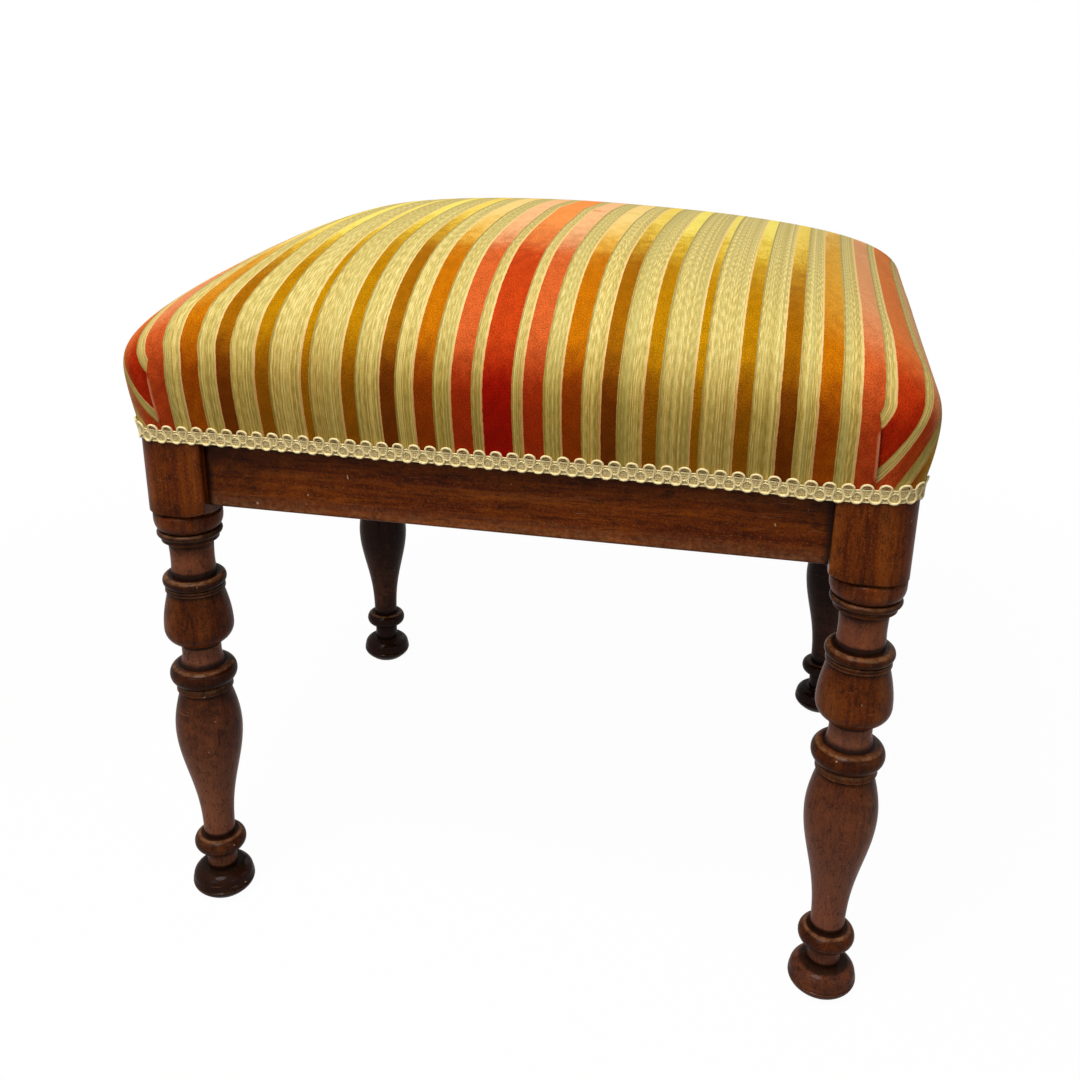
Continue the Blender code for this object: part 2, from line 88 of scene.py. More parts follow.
# %% [markdown]
# ## Sums on sockets
# A finish is a tree of nodes. Wiring each Math node by hand hides what is worked out, so a small class
# wraps a socket and lets Python's own operators add the Math nodes.

# %% Sums on sockets


class Wire:
    """A node socket that Python can do sums with."""

    def __init__(self, bench, socket):
        self.bench = bench
        self.socket = socket

    def math(self, operation, *others):
        return self.bench.node("ShaderNodeMath", {"operation": operation}, [self, *others])

    def other(self, name):
        return Wire(self.bench, self.socket.node.outputs[name])

    def __add__(self, value):
        return self.math("ADD", value)

    __radd__ = __add__

    def __mul__(self, value):
        return self.math("MULTIPLY", value)

    __rmul__ = __mul__

    def __sub__(self, value):
        return self.math("SUBTRACT", value)

    def __rsub__(self, value):
        return self.bench.node("ShaderNodeMath", {"operation": "SUBTRACT"}, [value, self])

    def __truediv__(self, value):
        return self.math("DIVIDE", value)


print("sums on sockets ready")

# %% [markdown]
# Every other node comes from one method of the bench, which takes the node's type, its settings and what
# goes into its sockets. Short methods on top of it make the nodes that are needed most often: a mix, a
# noise, a soft step between two values, a stretched place, a painted value and a bump.

# %% Bench for node trees


class Bench:
    """A node tree that is being built."""

    def __init__(self, tree):
        self.tree = tree

    def node(self, kind, settings=None, inputs=None, output=0):
        made = self.tree.nodes.new(kind)
        for name, value in (settings or {}).items():
            if name == "stops":
                self.set_stops(made.color_ramp, value)
            elif name == "interpolation" and hasattr(made, "color_ramp"):
                made.color_ramp.interpolation = value
            else:
                setattr(made, name, value)
        inputs = inputs or {}
        pairs = inputs.items() if isinstance(inputs, dict) else enumerate(inputs)
        for key, value in pairs:
            self.feed(made.inputs[key], value)
        return Wire(self, made.outputs[output]) if len(made.outputs) else made

    def set_stops(self, ramp, stops):
        while len(ramp.elements) < len(stops):
            ramp.elements.new(0.5)
        for element, (place, _) in zip(ramp.elements, stops):
            element.position = place
        for element, (_, colour) in zip(ramp.elements, stops):
            element.color = (*colour, 1.0)

    def feed(self, socket, value):
        if isinstance(value, Wire):
            self.tree.links.new(value.socket, socket)
        elif socket.type == "RGBA" and len(value) == 3:
            socket.default_value = (*value, 1.0)
        else:
            socket.default_value = value

    def mix(self, share, first, second, blend="MIX"):
        settings = {"data_type": "RGBA", "blend_type": blend, "clamp_factor": True}
        return self.node("ShaderNodeMix", settings, {0: share, 6: first, 7: second}, 2)

    def noise(self, place, scale, detail=2.0, rough=0.5, twist=0.0):
        inputs = {"Vector": place, "Scale": scale, "Detail": detail}
        inputs.update({"Roughness": rough, "Distortion": twist})
        return self.node("ShaderNodeTexNoise", {"normalize": True}, inputs)

    def band(self, value, low, high):
        """0 below low, 1 above high, eased between."""
        settings = {"interpolation_type": "SMOOTHSTEP", "clamp": True}
        return self.node("ShaderNodeMapRange", settings, [value, low, high, 0.0, 1.0])

    def stretch(self, place, scale):
        return self.node("ShaderNodeMapping", {"vector_type": "POINT"}, {"Vector": place, "Scale": scale})

    def attribute(self, name):
        return self.node("ShaderNodeAttribute", {"attribute_name": name}, output=2)

    def bump(self, height, depth, strength=1.0):
        inputs = {"Strength": strength, "Distance": depth, "Height": height}
        return self.node("ShaderNodeBump", None, inputs)


print("bench ready")

# %% [markdown]
# A few helpers start a finish and close it, and give what many finishes need: the place on the object,
# the rays that show a surface, and colours as they look on a screen.

# %% Finish helpers


def new_finish(name):
    made = bpy.data.materials.new(name)
    made.use_nodes = True
    made.node_tree.nodes.clear()
    return made, Bench(made.node_tree)


def surface(bench, shader):
    bench.node("ShaderNodeOutputMaterial", None, {"Surface": shader})


def object_place(bench):
    return bench.node("ShaderNodeTexCoord", output=3)


def seen_rays(bench):
    """1 for the rays that show a surface: from the camera, off a shine or through something clear."""
    path = bench.node("ShaderNodeLightPath")
    shine = path.math("MAXIMUM", path.other("Is Glossy Ray"))
    return shine.math("MAXIMUM", path.other("Is Transmission Ray"))


def srgb(red, green, blue):
    """A colour as it looks on a screen, made linear."""
    values = [c / 255 for c in (red, green, blue)]
    return tuple(c / 12.92 if c <= 0.04045 else ((c + 0.055) / 1.055) ** 2.4 for c in values)


print("finish helpers ready")

# %% [markdown]
# ## Floor and light
# The stool stands on a pale floor that fades into a white surround. For the camera and for reflections
# the floor is nearly white, and for bounced light it is greyer, so that the front of the stool keeps its
# shade. A plain white floor would be simpler, but it would throw too much light up under the seat.

# %% Floor
FLOOR_REACH = 6.0
FLOOR_CLEAR = 0.0003
FLOOR_FADES_FROM, FLOOR_FADES_TO = 0.45, 1.3
FLOOR_WHITENESS = 0.972


def floor_finish():
    made, bench = new_finish("pale floor")
    seen = seen_rays(bench)
    place = object_place(bench)
    from_middle = bench.node("ShaderNodeVectorMath", {"operation": "LENGTH"}, [place], 1)
    far = bench.band(from_middle, FLOOR_FADES_FROM, FLOOR_FADES_TO)
    speck = bench.noise(place, 35.0, 3.0)
    pale = bench.mix(speck, (0.93, 0.93, 0.925), (0.97, 0.97, 0.965))
    colour = bench.mix(seen, (0.32, 0.30, 0.28), pale)
    matt = bench.node("ShaderNodeBsdfDiffuse", None, {"Color": colour})
    white = bench.node("ShaderNodeEmission", None, {"Color": (1, 1, 1), "Strength": 1.0})
    share = (FLOOR_WHITENESS + far * (1 - FLOOR_WHITENESS)) * seen
    surface(bench, bench.node("ShaderNodeMixShader", None, [share, matt, white]))
    return made


def make_floor():
    work = bmesh.new()
    bmesh.ops.create_circle(work, cap_ends=True, segments=64, radius=FLOOR_REACH)
    for vert in work.verts:
        vert.co.z = -FLOOR_CLEAR
    mesh = bpy.data.meshes.new("floor")
    work.to_mesh(mesh)
    work.free()
    mesh.materials.append(floor_finish())
    made = bpy.data.objects.new("floor", mesh)
    bpy.context.scene.collection.objects.link(made)
    return made


floor = make_floor()
print("floor reaches:", FLOOR_REACH)

# %% [markdown]
# A wide soft lamp above and in front of the stool lights the top of the seat, as a window would. Three
# weaker ones stand at the left front, at the right and behind, and lift the shadows. A bright surround
# alone would be simpler, but it would light the stool evenly from all sides and flatten it. So the
# surround is white only where it is seen, and gives a dim light.

# %% Light
AMBIENT = (0.12, 0.12, 0.12)
WARM = (1.0, 0.97, 0.92)
SUNNY = (1.0, 0.98, 0.94)
LAMPS = (
    ("lamp above", (-0.25, -0.95, 1.95), (0, 0, 0.42), 1.0, 32.0, SUNNY),
    ("lamp front", (-0.75, -1.75, 1.35), (0, 0, 0.3), 0.9, 5.0, WARM),
    ("lamp right", (1.5, -1.1, 1.0), (0, 0, 0.25), 0.8, 3.4, WARM),
    ("lamp behind", (0.35, 2.2, 1.2), (0, 0, 0.4), 1.2, 5.0, WARM),
)


def white_surround(ambient):
    world = bpy.data.worlds.new("surround")
    world.use_nodes = True
    world.node_tree.nodes.clear()
    bench = Bench(world.node_tree)
    dim = bench.node("ShaderNodeBackground", None, {"Color": ambient, "Strength": 1.0})
    white = bench.node("ShaderNodeBackground", None, {"Color": (1, 1, 1), "Strength": 1.0})
    shader = bench.node("ShaderNodeMixShader", None, [seen_rays(bench), dim, white])
    bench.node("ShaderNodeOutputWorld", None, {"Surface": shader})
    bpy.context.scene.world = world


def soft_lamp(name, at, towards, width, power, colour):
    data = bpy.data.lights.new(name, "AREA")
    data.shape = "DISK"
    data.size = width
    data.energy = power
    data.color = colour
    lamp = bpy.data.objects.new(name, data)
    lamp.location = at
    lamp.rotation_euler = (Vector(towards) - Vector(at)).to_track_quat("-Z", "Y").to_euler()
    bpy.context.scene.collection.objects.link(lamp)


bpy.context.scene.view_settings.view_transform = "Standard"
white_surround(AMBIENT)
for lamp in LAMPS:
    soft_lamp(*lamp)
print("lamps set:", len(LAMPS))

# %% [markdown]
# ## Mesh helpers
# Most pieces are grids of points: rows that run round a leg, across a rail or round the seat. One helper
# turns such a grid into a mesh, and others add a UV map or a painted value for the finishes to read.
# Modifiers could shape many of the pieces, but in a grid each point's place is known from its row and
# column, so values can be painted on it by sums.

# %% Mesh helpers


def grid_faces(rows, columns, closed=True):
    """Corner numbers of the quads between neighbouring rows and columns."""
    row = np.arange(rows - 1)[:, None]
    column = np.arange(columns if closed else columns - 1)[None, :]
    after = (column + 1) % columns
    low, high = row * columns, (row + 1) * columns
    return np.stack([low + column, low + after, high + after, high + column], -1).reshape(-1, 4)


def make_piece(name, points, faces, finish, sharp=None):
    mesh = bpy.data.meshes.new(name)
    mesh.from_pydata(np.asarray(points).tolist(), [], [list(map(int, face)) for face in faces])
    mesh.materials.append(finish)
    mesh.shade_smooth()
    if sharp is not None:
        mesh.set_sharp_from_angle(angle=math.radians(sharp))
    made = bpy.data.objects.new(name, mesh)
    bpy.context.scene.collection.objects.link(made)
    return made


def paint(piece, name, values):
    """A value for each point of a piece, for its finish to read."""
    layer = piece.data.attributes.new(name, "FLOAT", "POINT")
    layer.data.foreach_set("value", np.asarray(values, dtype=np.float32).ravel())


def lay_uv(piece, name, uv):
    """A UV map from one pair for each point."""
    layer = piece.data.uv_layers.new(name=name)
    corners = np.empty(len(piece.data.loops), dtype=np.int32)
    piece.data.loops.foreach_get("vertex_index", corners)
    layer.data.foreach_set("uv", np.asarray(uv, dtype=np.float32)[corners].ravel())


def dress(piece, slot, *nodes):
    """Fixes a piece to the stool, in place of the solids it stands for."""
    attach(piece, "root")
    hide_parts(*nodes)
    print(piece.name, "triangles:", sum(len(face.vertices) - 2 for face in piece.data.polygons))


def eased(share):
    share = np.clip(share, 0.0, 1.0)
    return share * share * (3 - 2 * share)


print("mesh helpers ready")

# %% [markdown]
# ## Polished walnut
# The legs and rails are old polished walnut: a red-brown ground, darker growth lines that run along the
# grain, short open pores, mottling from the polish, dirt in the hollows and paler wear on the edges. The
# thin pale lines on the sharp edges are also a painted highlight, and on the rails the darkening just under
# the band is a painted shade. The grain runs up the legs and along the rails, so the finish takes the way of
# the grain. Stretched noise gives lines that never repeat, and Object coordinates keep it solid right
# through the wood. Two painted values tell where the polish has darkened with age and where hands have
# rubbed it pale. The first also carries painted shade, on the back legs and towards the tops of the rails,
# and painted light on the right front leg; the second also paints a pinkish reflection on the smooth parts
# of the legs. A photograph of wood could be laid on instead, but it would show seams round a turned leg.

# %% Polished walnut
WALNUT_DARK = srgb(84, 30, 2)
WALNUT_MID = srgb(130, 60, 4)
WALNUT_PALE = srgb(152, 90, 40)
WALNUT_OLD = srgb(24, 8, 3)
WALNUT_HANDLED_AND_REFLECTION = srgb(142, 90, 70)
WALNUT_DIRT = srgb(22, 10, 6)
WALNUT_WEAR_AND_HIGHLIGHT = srgb(186, 132, 92)
WALNUT_SCRATCH = srgb(176, 120, 84)
WALNUT_NICK = srgb(200, 164, 134)


def walnut(name, along, seed, gloss):
    made, bench = new_finish(name)
    place = bench.node("ShaderNodeVectorMath", {"operation": "ADD"}, [object_place(bench), seed])
    sway = bench.noise(place, 9.0, 2.0)
    across = [1.0 - 0.93 * a for a in along]
    lines = bench.noise(bench.stretch(place, [260.0 * a for a in across]), 1.0, 4.0, 0.65, 0.6)
    figure = bench.noise(bench.stretch(place, [34.0 * a for a in across]), 1.0, 3.0, 0.55, 1.2)
    pores = bench.noise(bench.stretch(place, [900.0 * a for a in across]), 1.0, 2.0, 0.5)
    patches = bench.noise(place, 110.0, 4.0, 0.7)
    speckle = bench.noise(place, 900.0, 2.0, 0.6)
    grain = bench.band(lines * 0.6 + figure * 0.4 + (sway - 0.5) * 0.12, 0.36, 0.64)
    colour = bench.mix(grain, WALNUT_DARK, WALNUT_MID)
    colour = bench.mix(bench.band(figure, 0.50, 0.78) * 0.7, colour, WALNUT_PALE)
    # the handled value: polish rubbed pale by hands, and also a painted pinkish reflection on the smooth
    # parts of the legs
    handled = bench.attribute("handled")
    colour = bench.mix(handled * (0.45 + patches * 0.4), colour, WALNUT_HANDLED_AND_REFLECTION)
    # the age value: polish darkened with age, with painted shade added on the back legs and towards the tops
    # of the rails, and painted light on the right front leg
    age = bench.attribute("age")
    tone = bench.band(age + (patches - 0.5) * 0.7, 0.05, 1.0)
    colour = bench.mix(tone * 0.94, colour, WALNUT_OLD)
    colour = bench.mix(bench.band(speckle, 0.52, 0.70) * 0.40, colour, WALNUT_OLD)
    colour = bench.mix((1 - bench.band(speckle, 0.30, 0.46)) * (1 - tone) * 0.35, colour, WALNUT_PALE)
    crack = bench.noise(bench.stretch(place, [70.0 * a + 18.0 for a in across]), 1.0, 4.0, 0.6, 1.6)
    vein = 1 - bench.band((crack - 0.5).math("ABSOLUTE"), 0.0, 0.035)
    colour = bench.mix(vein * bench.band(patches, 0.40, 0.62) * 0.6, colour, WALNUT_OLD)
    open_pore = bench.band(pores, 0.60, 0.70)
    colour = bench.mix(open_pore * 0.5, colour, WALNUT_DIRT)
    hollow = bench.attribute("hollow")
    edge = bench.attribute("edge")
    broken = bench.noise(place, 240.0, 3.0, 0.7)
    # edge wear: paler on worn edges, and the thin pale lines on sharp edges are also a painted highlight
    worn = edge * (0.35 + bench.band(broken, 0.40, 0.62) * 0.65)
    colour = bench.mix(worn * 0.30, colour, WALNUT_WEAR_AND_HIGHLIGHT)
    # darker in the hollows: dirt on the legs and at the rail ends, and painted shade just under the rails'
    # band
    dirt_and_shade = bench.band(hollow + (patches - 0.5) * 0.35, 0.12, 0.75)
    colour = bench.mix(dirt_and_shade * 0.88, colour, WALNUT_DIRT)
    turned = {"Vector": place, "Rotation": (0.3, 0.7, 0.2), "Scale": (55.0, 60.0, 1500.0)}
    stroke = bench.noise(bench.node("ShaderNodeMapping", {"vector_type": "POINT"}, turned), 1.0, 1.0)
    rubbed = bench.band(bench.noise(place, 26.0, 2.0), 0.48, 0.60)
    scratch = bench.band(stroke, 0.70, 0.76) * rubbed * (1 - dirt_and_shade)
    nick = bench.band(bench.noise(place, 230.0, 1.0), 0.78, 0.82)
    colour = bench.mix(scratch * 0.45, colour, WALNUT_SCRATCH)
    colour = bench.mix(nick * 0.6, colour, WALNUT_NICK)
    rough = 0.30 + patches * 0.16 + dirt_and_shade * 0.25 + worn * 0.1
    relief = lines * 0.35 - open_pore * 0.6 + patches * 0.4 - nick * 1.2 - scratch * 0.6
    normal = bench.bump(relief, 0.00018, 0.7)
    shader = bench.node("ShaderNodeBsdfPrincipled", None, {
        "Base Color": colour, "Roughness": rough, "Normal": normal,
        "Coat Weight": 0.08, "Coat Roughness": 0.10, "Specular IOR Level": gloss,
    })
    surface(bench, shader)
    return made


leg_walnut = walnut("walnut grain upright", (0, 0, 1), (0.31, 0.17, 0.0), 0.02)
long_walnut = walnut("walnut grain left to right", (1, 0, 0), (0.0, 0.53, 0.21), 0.015)
short_walnut = walnut("walnut grain front to back", (0, 1, 0), (0.71, 0.0, 0.4), 0.015)
print("walnut in three grain directions")

# %% [markdown]
# ## Turned legs
# Each leg was turned on a lathe from a square post. The turner left the top square for the joints, and
# where the gouge met the square it left a curved shoulder on the corners. The profile is cut with a few
# bends, as a turner does it: a run from one radius to the next, a step, and a ring. A curve drawn by hand
# would do too, but a list of cuts is easier to measure and to change.

# %% The lathe
LEG_AT_X = 0.215
LEG_AT_Y = 0.1815
OUTER_HALF = 0.0222
INNER_HALF = 0.0238
TURNED_HEIGHT = 0.302
FRAME_TOP = 0.380
BLOCK_OUTER_RADIUS = 0.0185
BLOCK_ARRIS = 0.0014
OVOLO_RADIUS = 0.0222
QUIRK = 0.0024
STEP_RISE = 0.0002


def straight(t):
    return t


def slow_ogee(t):
    return (1 - np.cos(np.pi * t ** 1.27)) / 2


def quick_first(t):
    return np.sin(t * np.pi / 2)


def quick_last(t):
    return 1 - np.cos(t * np.pi / 2)


def quarter_round(t):
    return np.sqrt(1 - (1 - t) ** 2)


def round_over(t):
    return 1 - np.sqrt(1 - t ** 2)


class Turning:
    """A lathe profile of radii and heights, cut from the floor up."""

    def __init__(self, radius):
        self.radii = [radius]
        self.heights = [0.0]

    def run(self, height, radius, bend, count):
        start_radius, start = self.radii[-1], self.heights[-1]
        for t in np.linspace(0, 1, count + 1)[1:]:
            self.radii.append(start_radius + (radius - start_radius) * bend(t))
            self.heights.append(start + height * t)

    def step(self, radius):
        self.run(STEP_RISE, radius, straight, 2)

    def ring(self, height, radius, count):
        root, start = self.radii[-1], self.heights[-1]
        for t in np.linspace(0, 1, count + 1)[1:]:
            self.radii.append(root + (radius - root) * np.sin(np.pi * t) ** 0.8)
            self.heights.append(start + height * (1 - np.cos(np.pi * t)) / 2)


print("the lathe is ready")

# %% [markdown]
# The cuts go from the floor up: each has a height, the radius it ends at, a bend and a number of points.
# What they add up to is then scaled to the height of the turned part.

# %% Leg profile


def leg_profile():
    # the ball foot, with a scored line round it
    cut = Turning(0.0150)
    cut.run(0.0088, 0.0220, quick_first, 14)
    cut.run(0.0007, 0.0212, straight, 2)
    cut.run(0.0007, 0.0219, straight, 2)
    cut.run(0.0024, 0.0213, quick_last, 5)
    cut.run(0.0088, 0.0106, round_over, 16)
    # a thin neck, the low ring and the long vase
    cut.run(0.0136, 0.0104, straight, 8)
    cut.run(0.0006, 0.0109, straight, 2)
    cut.ring(0.0130, 0.0182, 18)
    cut.run(0.0885, 0.0226, slow_ogee, 44)
    cut.run(0.0312, 0.0168, quick_last, 22)
    # two fillets and the middle ring
    cut.step(0.0190)
    cut.run(0.0023, 0.0188, straight, 2)
    cut.step(0.0177)
    cut.step(0.0190)
    cut.run(0.0019, 0.0186, straight, 2)
    cut.step(0.0150)
    cut.ring(0.0140, 0.0225, 20)
    # a neck and the bell
    cut.run(0.0082, 0.0131, quick_first, 10)
    cut.run(0.0090, 0.0131, straight, 6)
    cut.run(0.0108, 0.0229, quarter_round, 16)
    cut.run(0.0276, 0.0181, quick_last, 18)
    # a fillet, the upper ring and the upper neck
    cut.step(0.0197)
    cut.run(0.0030, 0.0195, straight, 3)
    cut.step(0.0169)
    cut.ring(0.0073, 0.0208, 14)
    cut.step(0.0148)
    cut.run(0.0110, 0.0142, quick_first, 8)
    cut.run(0.0110, 0.0146, quick_last, 8)
    # the collar, and the ovolo under the square
    cut.run(0.0034, 0.0186, quick_last, 6)
    cut.run(0.0028, 0.0186, straight, 3)
    cut.step(0.0178)
    cut.ring(0.0048, 0.0211, 12)
    cut.run(0.0080, OVOLO_RADIUS, quarter_round, 16)
    cut.run(0.0026, OVOLO_RADIUS, straight, 3)
    cut.run(0.0033, OVOLO_RADIUS - QUIRK, quick_last, 8)
    radii, heights = np.array(cut.radii), np.array(cut.heights)
    return radii, heights * TURNED_HEIGHT / heights[-1]


leg_radii, leg_heights = leg_profile()
print("profile points:", len(leg_radii))

# %% [markdown]
# The leg is one grid: rings up the profile, and columns round it. Below the square a ring is round, and
# above it the ring follows the block's outline, held in by the gouge's cut, so that the two meet as they
# do on the lathe. A Screw modifier could turn the profile, but it couldn't make the square top.
#
# The profile also tells where dirt gathers and where hands rub: a ring that lies under its neighbours'
# average is in a hollow, and one that stands over it is an edge. Both are painted on the points, with the
# age of the polish and the rubbing of hands, which go by height. The edges are painted paler, for wear and
# as a painted highlight, and the rubbing of hands also paints a pinkish reflection on the smooth parts.

# %% Leg grid
SHOULDER_CUT = 0.0065
REBATE_FROM = 0.3545
REBATE = 0.0016
GOUGE_SWEEP = 0.0142
HOLLOW_REACH = 0.0045
HOLLOW_DEPTH = 0.0022
EDGE_REACH = 0.0011
LEG_AGE = (
    (0.000, 0.80), (0.012, 0.66), (0.020, 0.62), (0.028, 0.40), (0.036, 0.70), (0.048, 0.74),
    (0.053, 0.25), (0.080, 0.16), (0.110, 0.30), (0.140, 0.50), (0.162, 0.68),
    (0.170, 0.72), (0.187, 0.85), (0.192, 0.20), (0.203, 0.00),
    (0.212, 0.45), (0.226, 0.52), (0.240, 0.66), (0.246, 0.85), (0.254, 0.88), (0.258, 0.42), (0.266, 0.20),
    (0.277, 0.42), (0.283, 0.85), (0.288, 0.88), (0.293, 0.25), (0.299, 0.45), (0.304, 0.55), (0.316, 0.28),
    (0.335, 0.22), (0.353, 0.45), (0.380, 0.80),
)
# rubbing of hands by height, which also paints a pinkish reflection on the smooth necks and shank
LEG_HANDLED_AND_REFLECTION = (
    (0.000, 0.6), (0.019, 0.6), (0.023, 0.8), (0.034, 0.8), (0.037, 0.1), (0.047, 0.1),
    (0.052, 1.0), (0.090, 1.0), (0.120, 0.75), (0.150, 0.6), (0.165, 0.4),
    (0.168, 0.0), (0.187, 0.0), (0.190, 1.2), (0.204, 1.2),
    (0.207, 0.1), (0.255, 0.0), (0.258, 0.7), (0.276, 0.7), (0.280, 0.0), (0.292, 0.2), (0.302, 0.0),
)


def block_outline():
    """The square top in the leg's own corner: columns as angles, and how far out the wood reaches."""
    corners = (
        (1, 1, BLOCK_OUTER_RADIUS, 16),
        (-1, 1, BLOCK_ARRIS, 6),
        (-1, -1, BLOCK_ARRIS, 6),
        (1, -1, BLOCK_ARRIS, 6),
    )
    reach = {1: OUTER_HALF, -1: INNER_HALF}
    points = []
    for quarter, (side_x, side_y, radius, count) in enumerate(corners):
        turn = np.pi / 2 * (quarter + np.linspace(0, 1, count + 1))
        centre = np.array([side_x * (reach[side_x] - radius), side_y * (reach[side_y] - radius)])
        points.append(centre + radius * np.stack([np.cos(turn), np.sin(turn)], -1))
    outline = []
    for i, arc in enumerate(points):
        start, end = arc[-1], points[(i + 1) % 4][0]
        outline += [arc, start + (end - start) * np.linspace(0, 1, 14)[1:-1, None]]
    outline = np.concatenate(outline)
    return np.arctan2(outline[:, 1], outline[:, 0]), np.hypot(outline[:, 0], outline[:, 1])


def local_mean(values, heights, reach):
    near = np.abs(heights[:, None] - heights[None, :]) < reach
    return (near * values[None, :]).sum(1) / near.sum(1)


def leg_grid():
    """Radii for every ring and column of a leg, with its hollows and edges."""
    angles, block = block_outline()
    shoulder_rise = np.linspace(0, 0.012, 44)[1:]
    block_rise = np.linspace(0.014, FRAME_TOP - TURNED_HEIGHT, 18)
    rebate_rise = np.array([-0.0001, 0.0001]) + REBATE_FROM - TURNED_HEIGHT
    rise = np.sort(np.concatenate([shoulder_rise, block_rise, rebate_rise]))
    up = np.clip((rise - 0.0004) / SHOULDER_CUT, 0, 1)
    gouge = OVOLO_RADIUS - QUIRK + GOUGE_SWEEP * np.sqrt(up) + 10 * np.clip(rise - SHOULDER_CUT, 0, 1)
    square = np.minimum(gouge[:, None], block[None, :])
    outward = np.clip(1.4 * np.maximum(np.cos(angles), np.sin(angles)), 0, 1)
    square -= REBATE * outward[None, :] * (TURNED_HEIGHT + rise > REBATE_FROM)[:, None]
    round_part = np.repeat(leg_radii[:, None], len(angles), 1)
    radii = np.concatenate([round_part, square])
    heights = np.concatenate([leg_heights, TURNED_HEIGHT + rise])
    over = leg_radii - local_mean(leg_radii, leg_heights, HOLLOW_REACH)
    hollow = np.clip(-over / HOLLOW_DEPTH, 0, 1)
    hollow[leg_heights < 0.004] = 0.5
    # edges of the rings, the block's arrises and the gouge's cut line: painted paler, for wear and as a
    # painted highlight
    sharp = leg_radii - local_mean(leg_radii, leg_heights, EDGE_REACH)
    edge = np.clip((sharp - 0.0001) / 0.0004, 0, 1)
    top_hollow = np.clip(1 - rise / HOLLOW_DEPTH, 0, 1)[:, None] * np.ones(len(angles))
    arris = np.clip((block - 0.0318) / 0.0012, 0, 1)[None, :] * (square > 0.0300) * 0.6
    from_cut = np.abs(gouge[:, None] - block[None, :])
    cut_line = np.clip(1 - from_cut / 0.0012, 0, 1) * (rise[:, None] < 0.011)
    hollow = np.concatenate([np.repeat(hollow[:, None], len(angles), 1), top_hollow])
    edge = np.concatenate([np.repeat(edge[:, None], len(angles), 1), np.maximum(arris, cut_line)])
    age = np.repeat(np.interp(heights, *zip(*LEG_AGE))[:, None], len(angles), 1)
    handled = np.repeat(np.interp(heights, *zip(*LEG_HANDLED_AND_REFLECTION))[:, None], len(angles), 1)
    return angles, radii, heights, {"hollow": hollow, "edge": edge, "age": age, "handled": handled}


print("points in a leg:", leg_grid()[1].size)

# %% [markdown]
# The same grid serves all four legs. It is mirrored to each corner, so that the rounded edge of the block
# faces outwards, and the two legs that this turns inside out have their faces turned round. The back legs
# are painted darker than the front ones, a painted shade for the shadow under the seat, the right front one
# is painted the palest, a painted light from the right, and the left front one has a dark foot. Linked
# copies of one leg would be lighter, but each leg needs a painted tone of its own.

# %% Leg pieces
# painted shade on the back legs and painted light on the right front leg, added to the age value
LEG_TONE = {(-1, -1): 0.0, (1, -1): -0.12, (-1, 1): 0.50, (1, 1): 0.50}
DARK_FOOT = 0.40
DARK_FOOT_TOP = 0.022


def make_leg(name, side_x, side_y):
    angles, radii, heights, marks = leg_grid()
    rows, columns = radii.shape
    x = side_x * (LEG_AT_X + radii * np.cos(angles)[None, :])
    y = side_y * (LEG_AT_Y + radii * np.sin(angles)[None, :])
    points = np.stack([x, y, np.repeat(heights[:, None], columns, 1)], -1).reshape(-1, 3)
    middle = (side_x * LEG_AT_X, side_y * LEG_AT_Y)
    ends = [(*middle, 0.0), (*middle, FRAME_TOP)]
    points = np.concatenate([points, ends])
    faces = grid_faces(rows, columns).tolist()
    foot, top = rows * columns, rows * columns + 1
    last = (rows - 1) * columns
    for i in range(columns):
        j = (i + 1) % columns
        faces += [(j, i, foot), (last + i, last + j, top)]
    if side_x * side_y < 0:
        faces = [face[::-1] for face in faces]
    leg = make_piece(name, points, faces, leg_walnut, 38)
    marks["age"] = marks["age"] + LEG_TONE[side_x, side_y]
    if (side_x, side_y) == (-1, -1):
        marks["age"] += DARK_FOOT * (heights < DARK_FOOT_TOP)[:, None]
    for mark, values in marks.items():
        paint(leg, mark, np.append(values.ravel(), [0, 0]))
    return leg


CORNERS = (("front_left", -1, -1), ("front_right", 1, -1), ("back_left", -1, 1), ("back_right", 1, 1))
for place, side_x, side_y in CORNERS:
    dress(make_leg(f"turned_leg_{place}", side_x, side_y), "walnut", f"leg_{place}")

# %% [markdown]
# ## Seat rails
# The rails are plain boards, set a little behind the faces of the leg blocks, with a thicker band at the
# top that the cover is tacked to. The section is drawn first: eased edges below, the plain back, the band
# at the top and the show face under it. The tenons are hidden in the legs and aren't drawn again.

# %% Rail section
RAIL_BOTTOM = 0.310
RAIL_THICKNESS = 0.022
BAND_BOTTOM = 0.353
BAND_PROUD = 0.0044
SHOW_ROUND = 0.0022
BACK_ROUND = 0.0010


def corner_arc(across, up, radius, first, count):
    """A rounded corner of a section, from the angle first, a quarter turn on."""
    turn = np.pi / 2 * (first + np.linspace(0, 1, count + 1))
    return np.stack([across + radius * np.cos(turn), up + radius * np.sin(turn)], -1)


def rail_section(face):
    """Depth and height round a rail with its show face at the depth given, anticlockwise from below."""
    back = face + RAIL_THICKNESS
    band = face - BAND_PROUD
    parts = [
        corner_arc(face + SHOW_ROUND, RAIL_BOTTOM + SHOW_ROUND, SHOW_ROUND, 2, 8),
        corner_arc(back - BACK_ROUND, RAIL_BOTTOM + BACK_ROUND, BACK_ROUND, 3, 4),
        np.array([(back, RAIL_BOTTOM + 0.02), (back, RAIL_BOTTOM + 0.045)]),
        np.array([(back, FRAME_TOP), (band, FRAME_TOP), (band, BAND_BOTTOM)]),
        np.array([(face, BAND_BOTTOM - 0.0002)]),
        np.stack([np.full(12, face), np.linspace(BAND_BOTTOM - 0.002, RAIL_BOTTOM + 0.006, 12)], -1),
    ]
    return np.concatenate(parts)


print("points round a rail:", len(rail_section(0.0)))

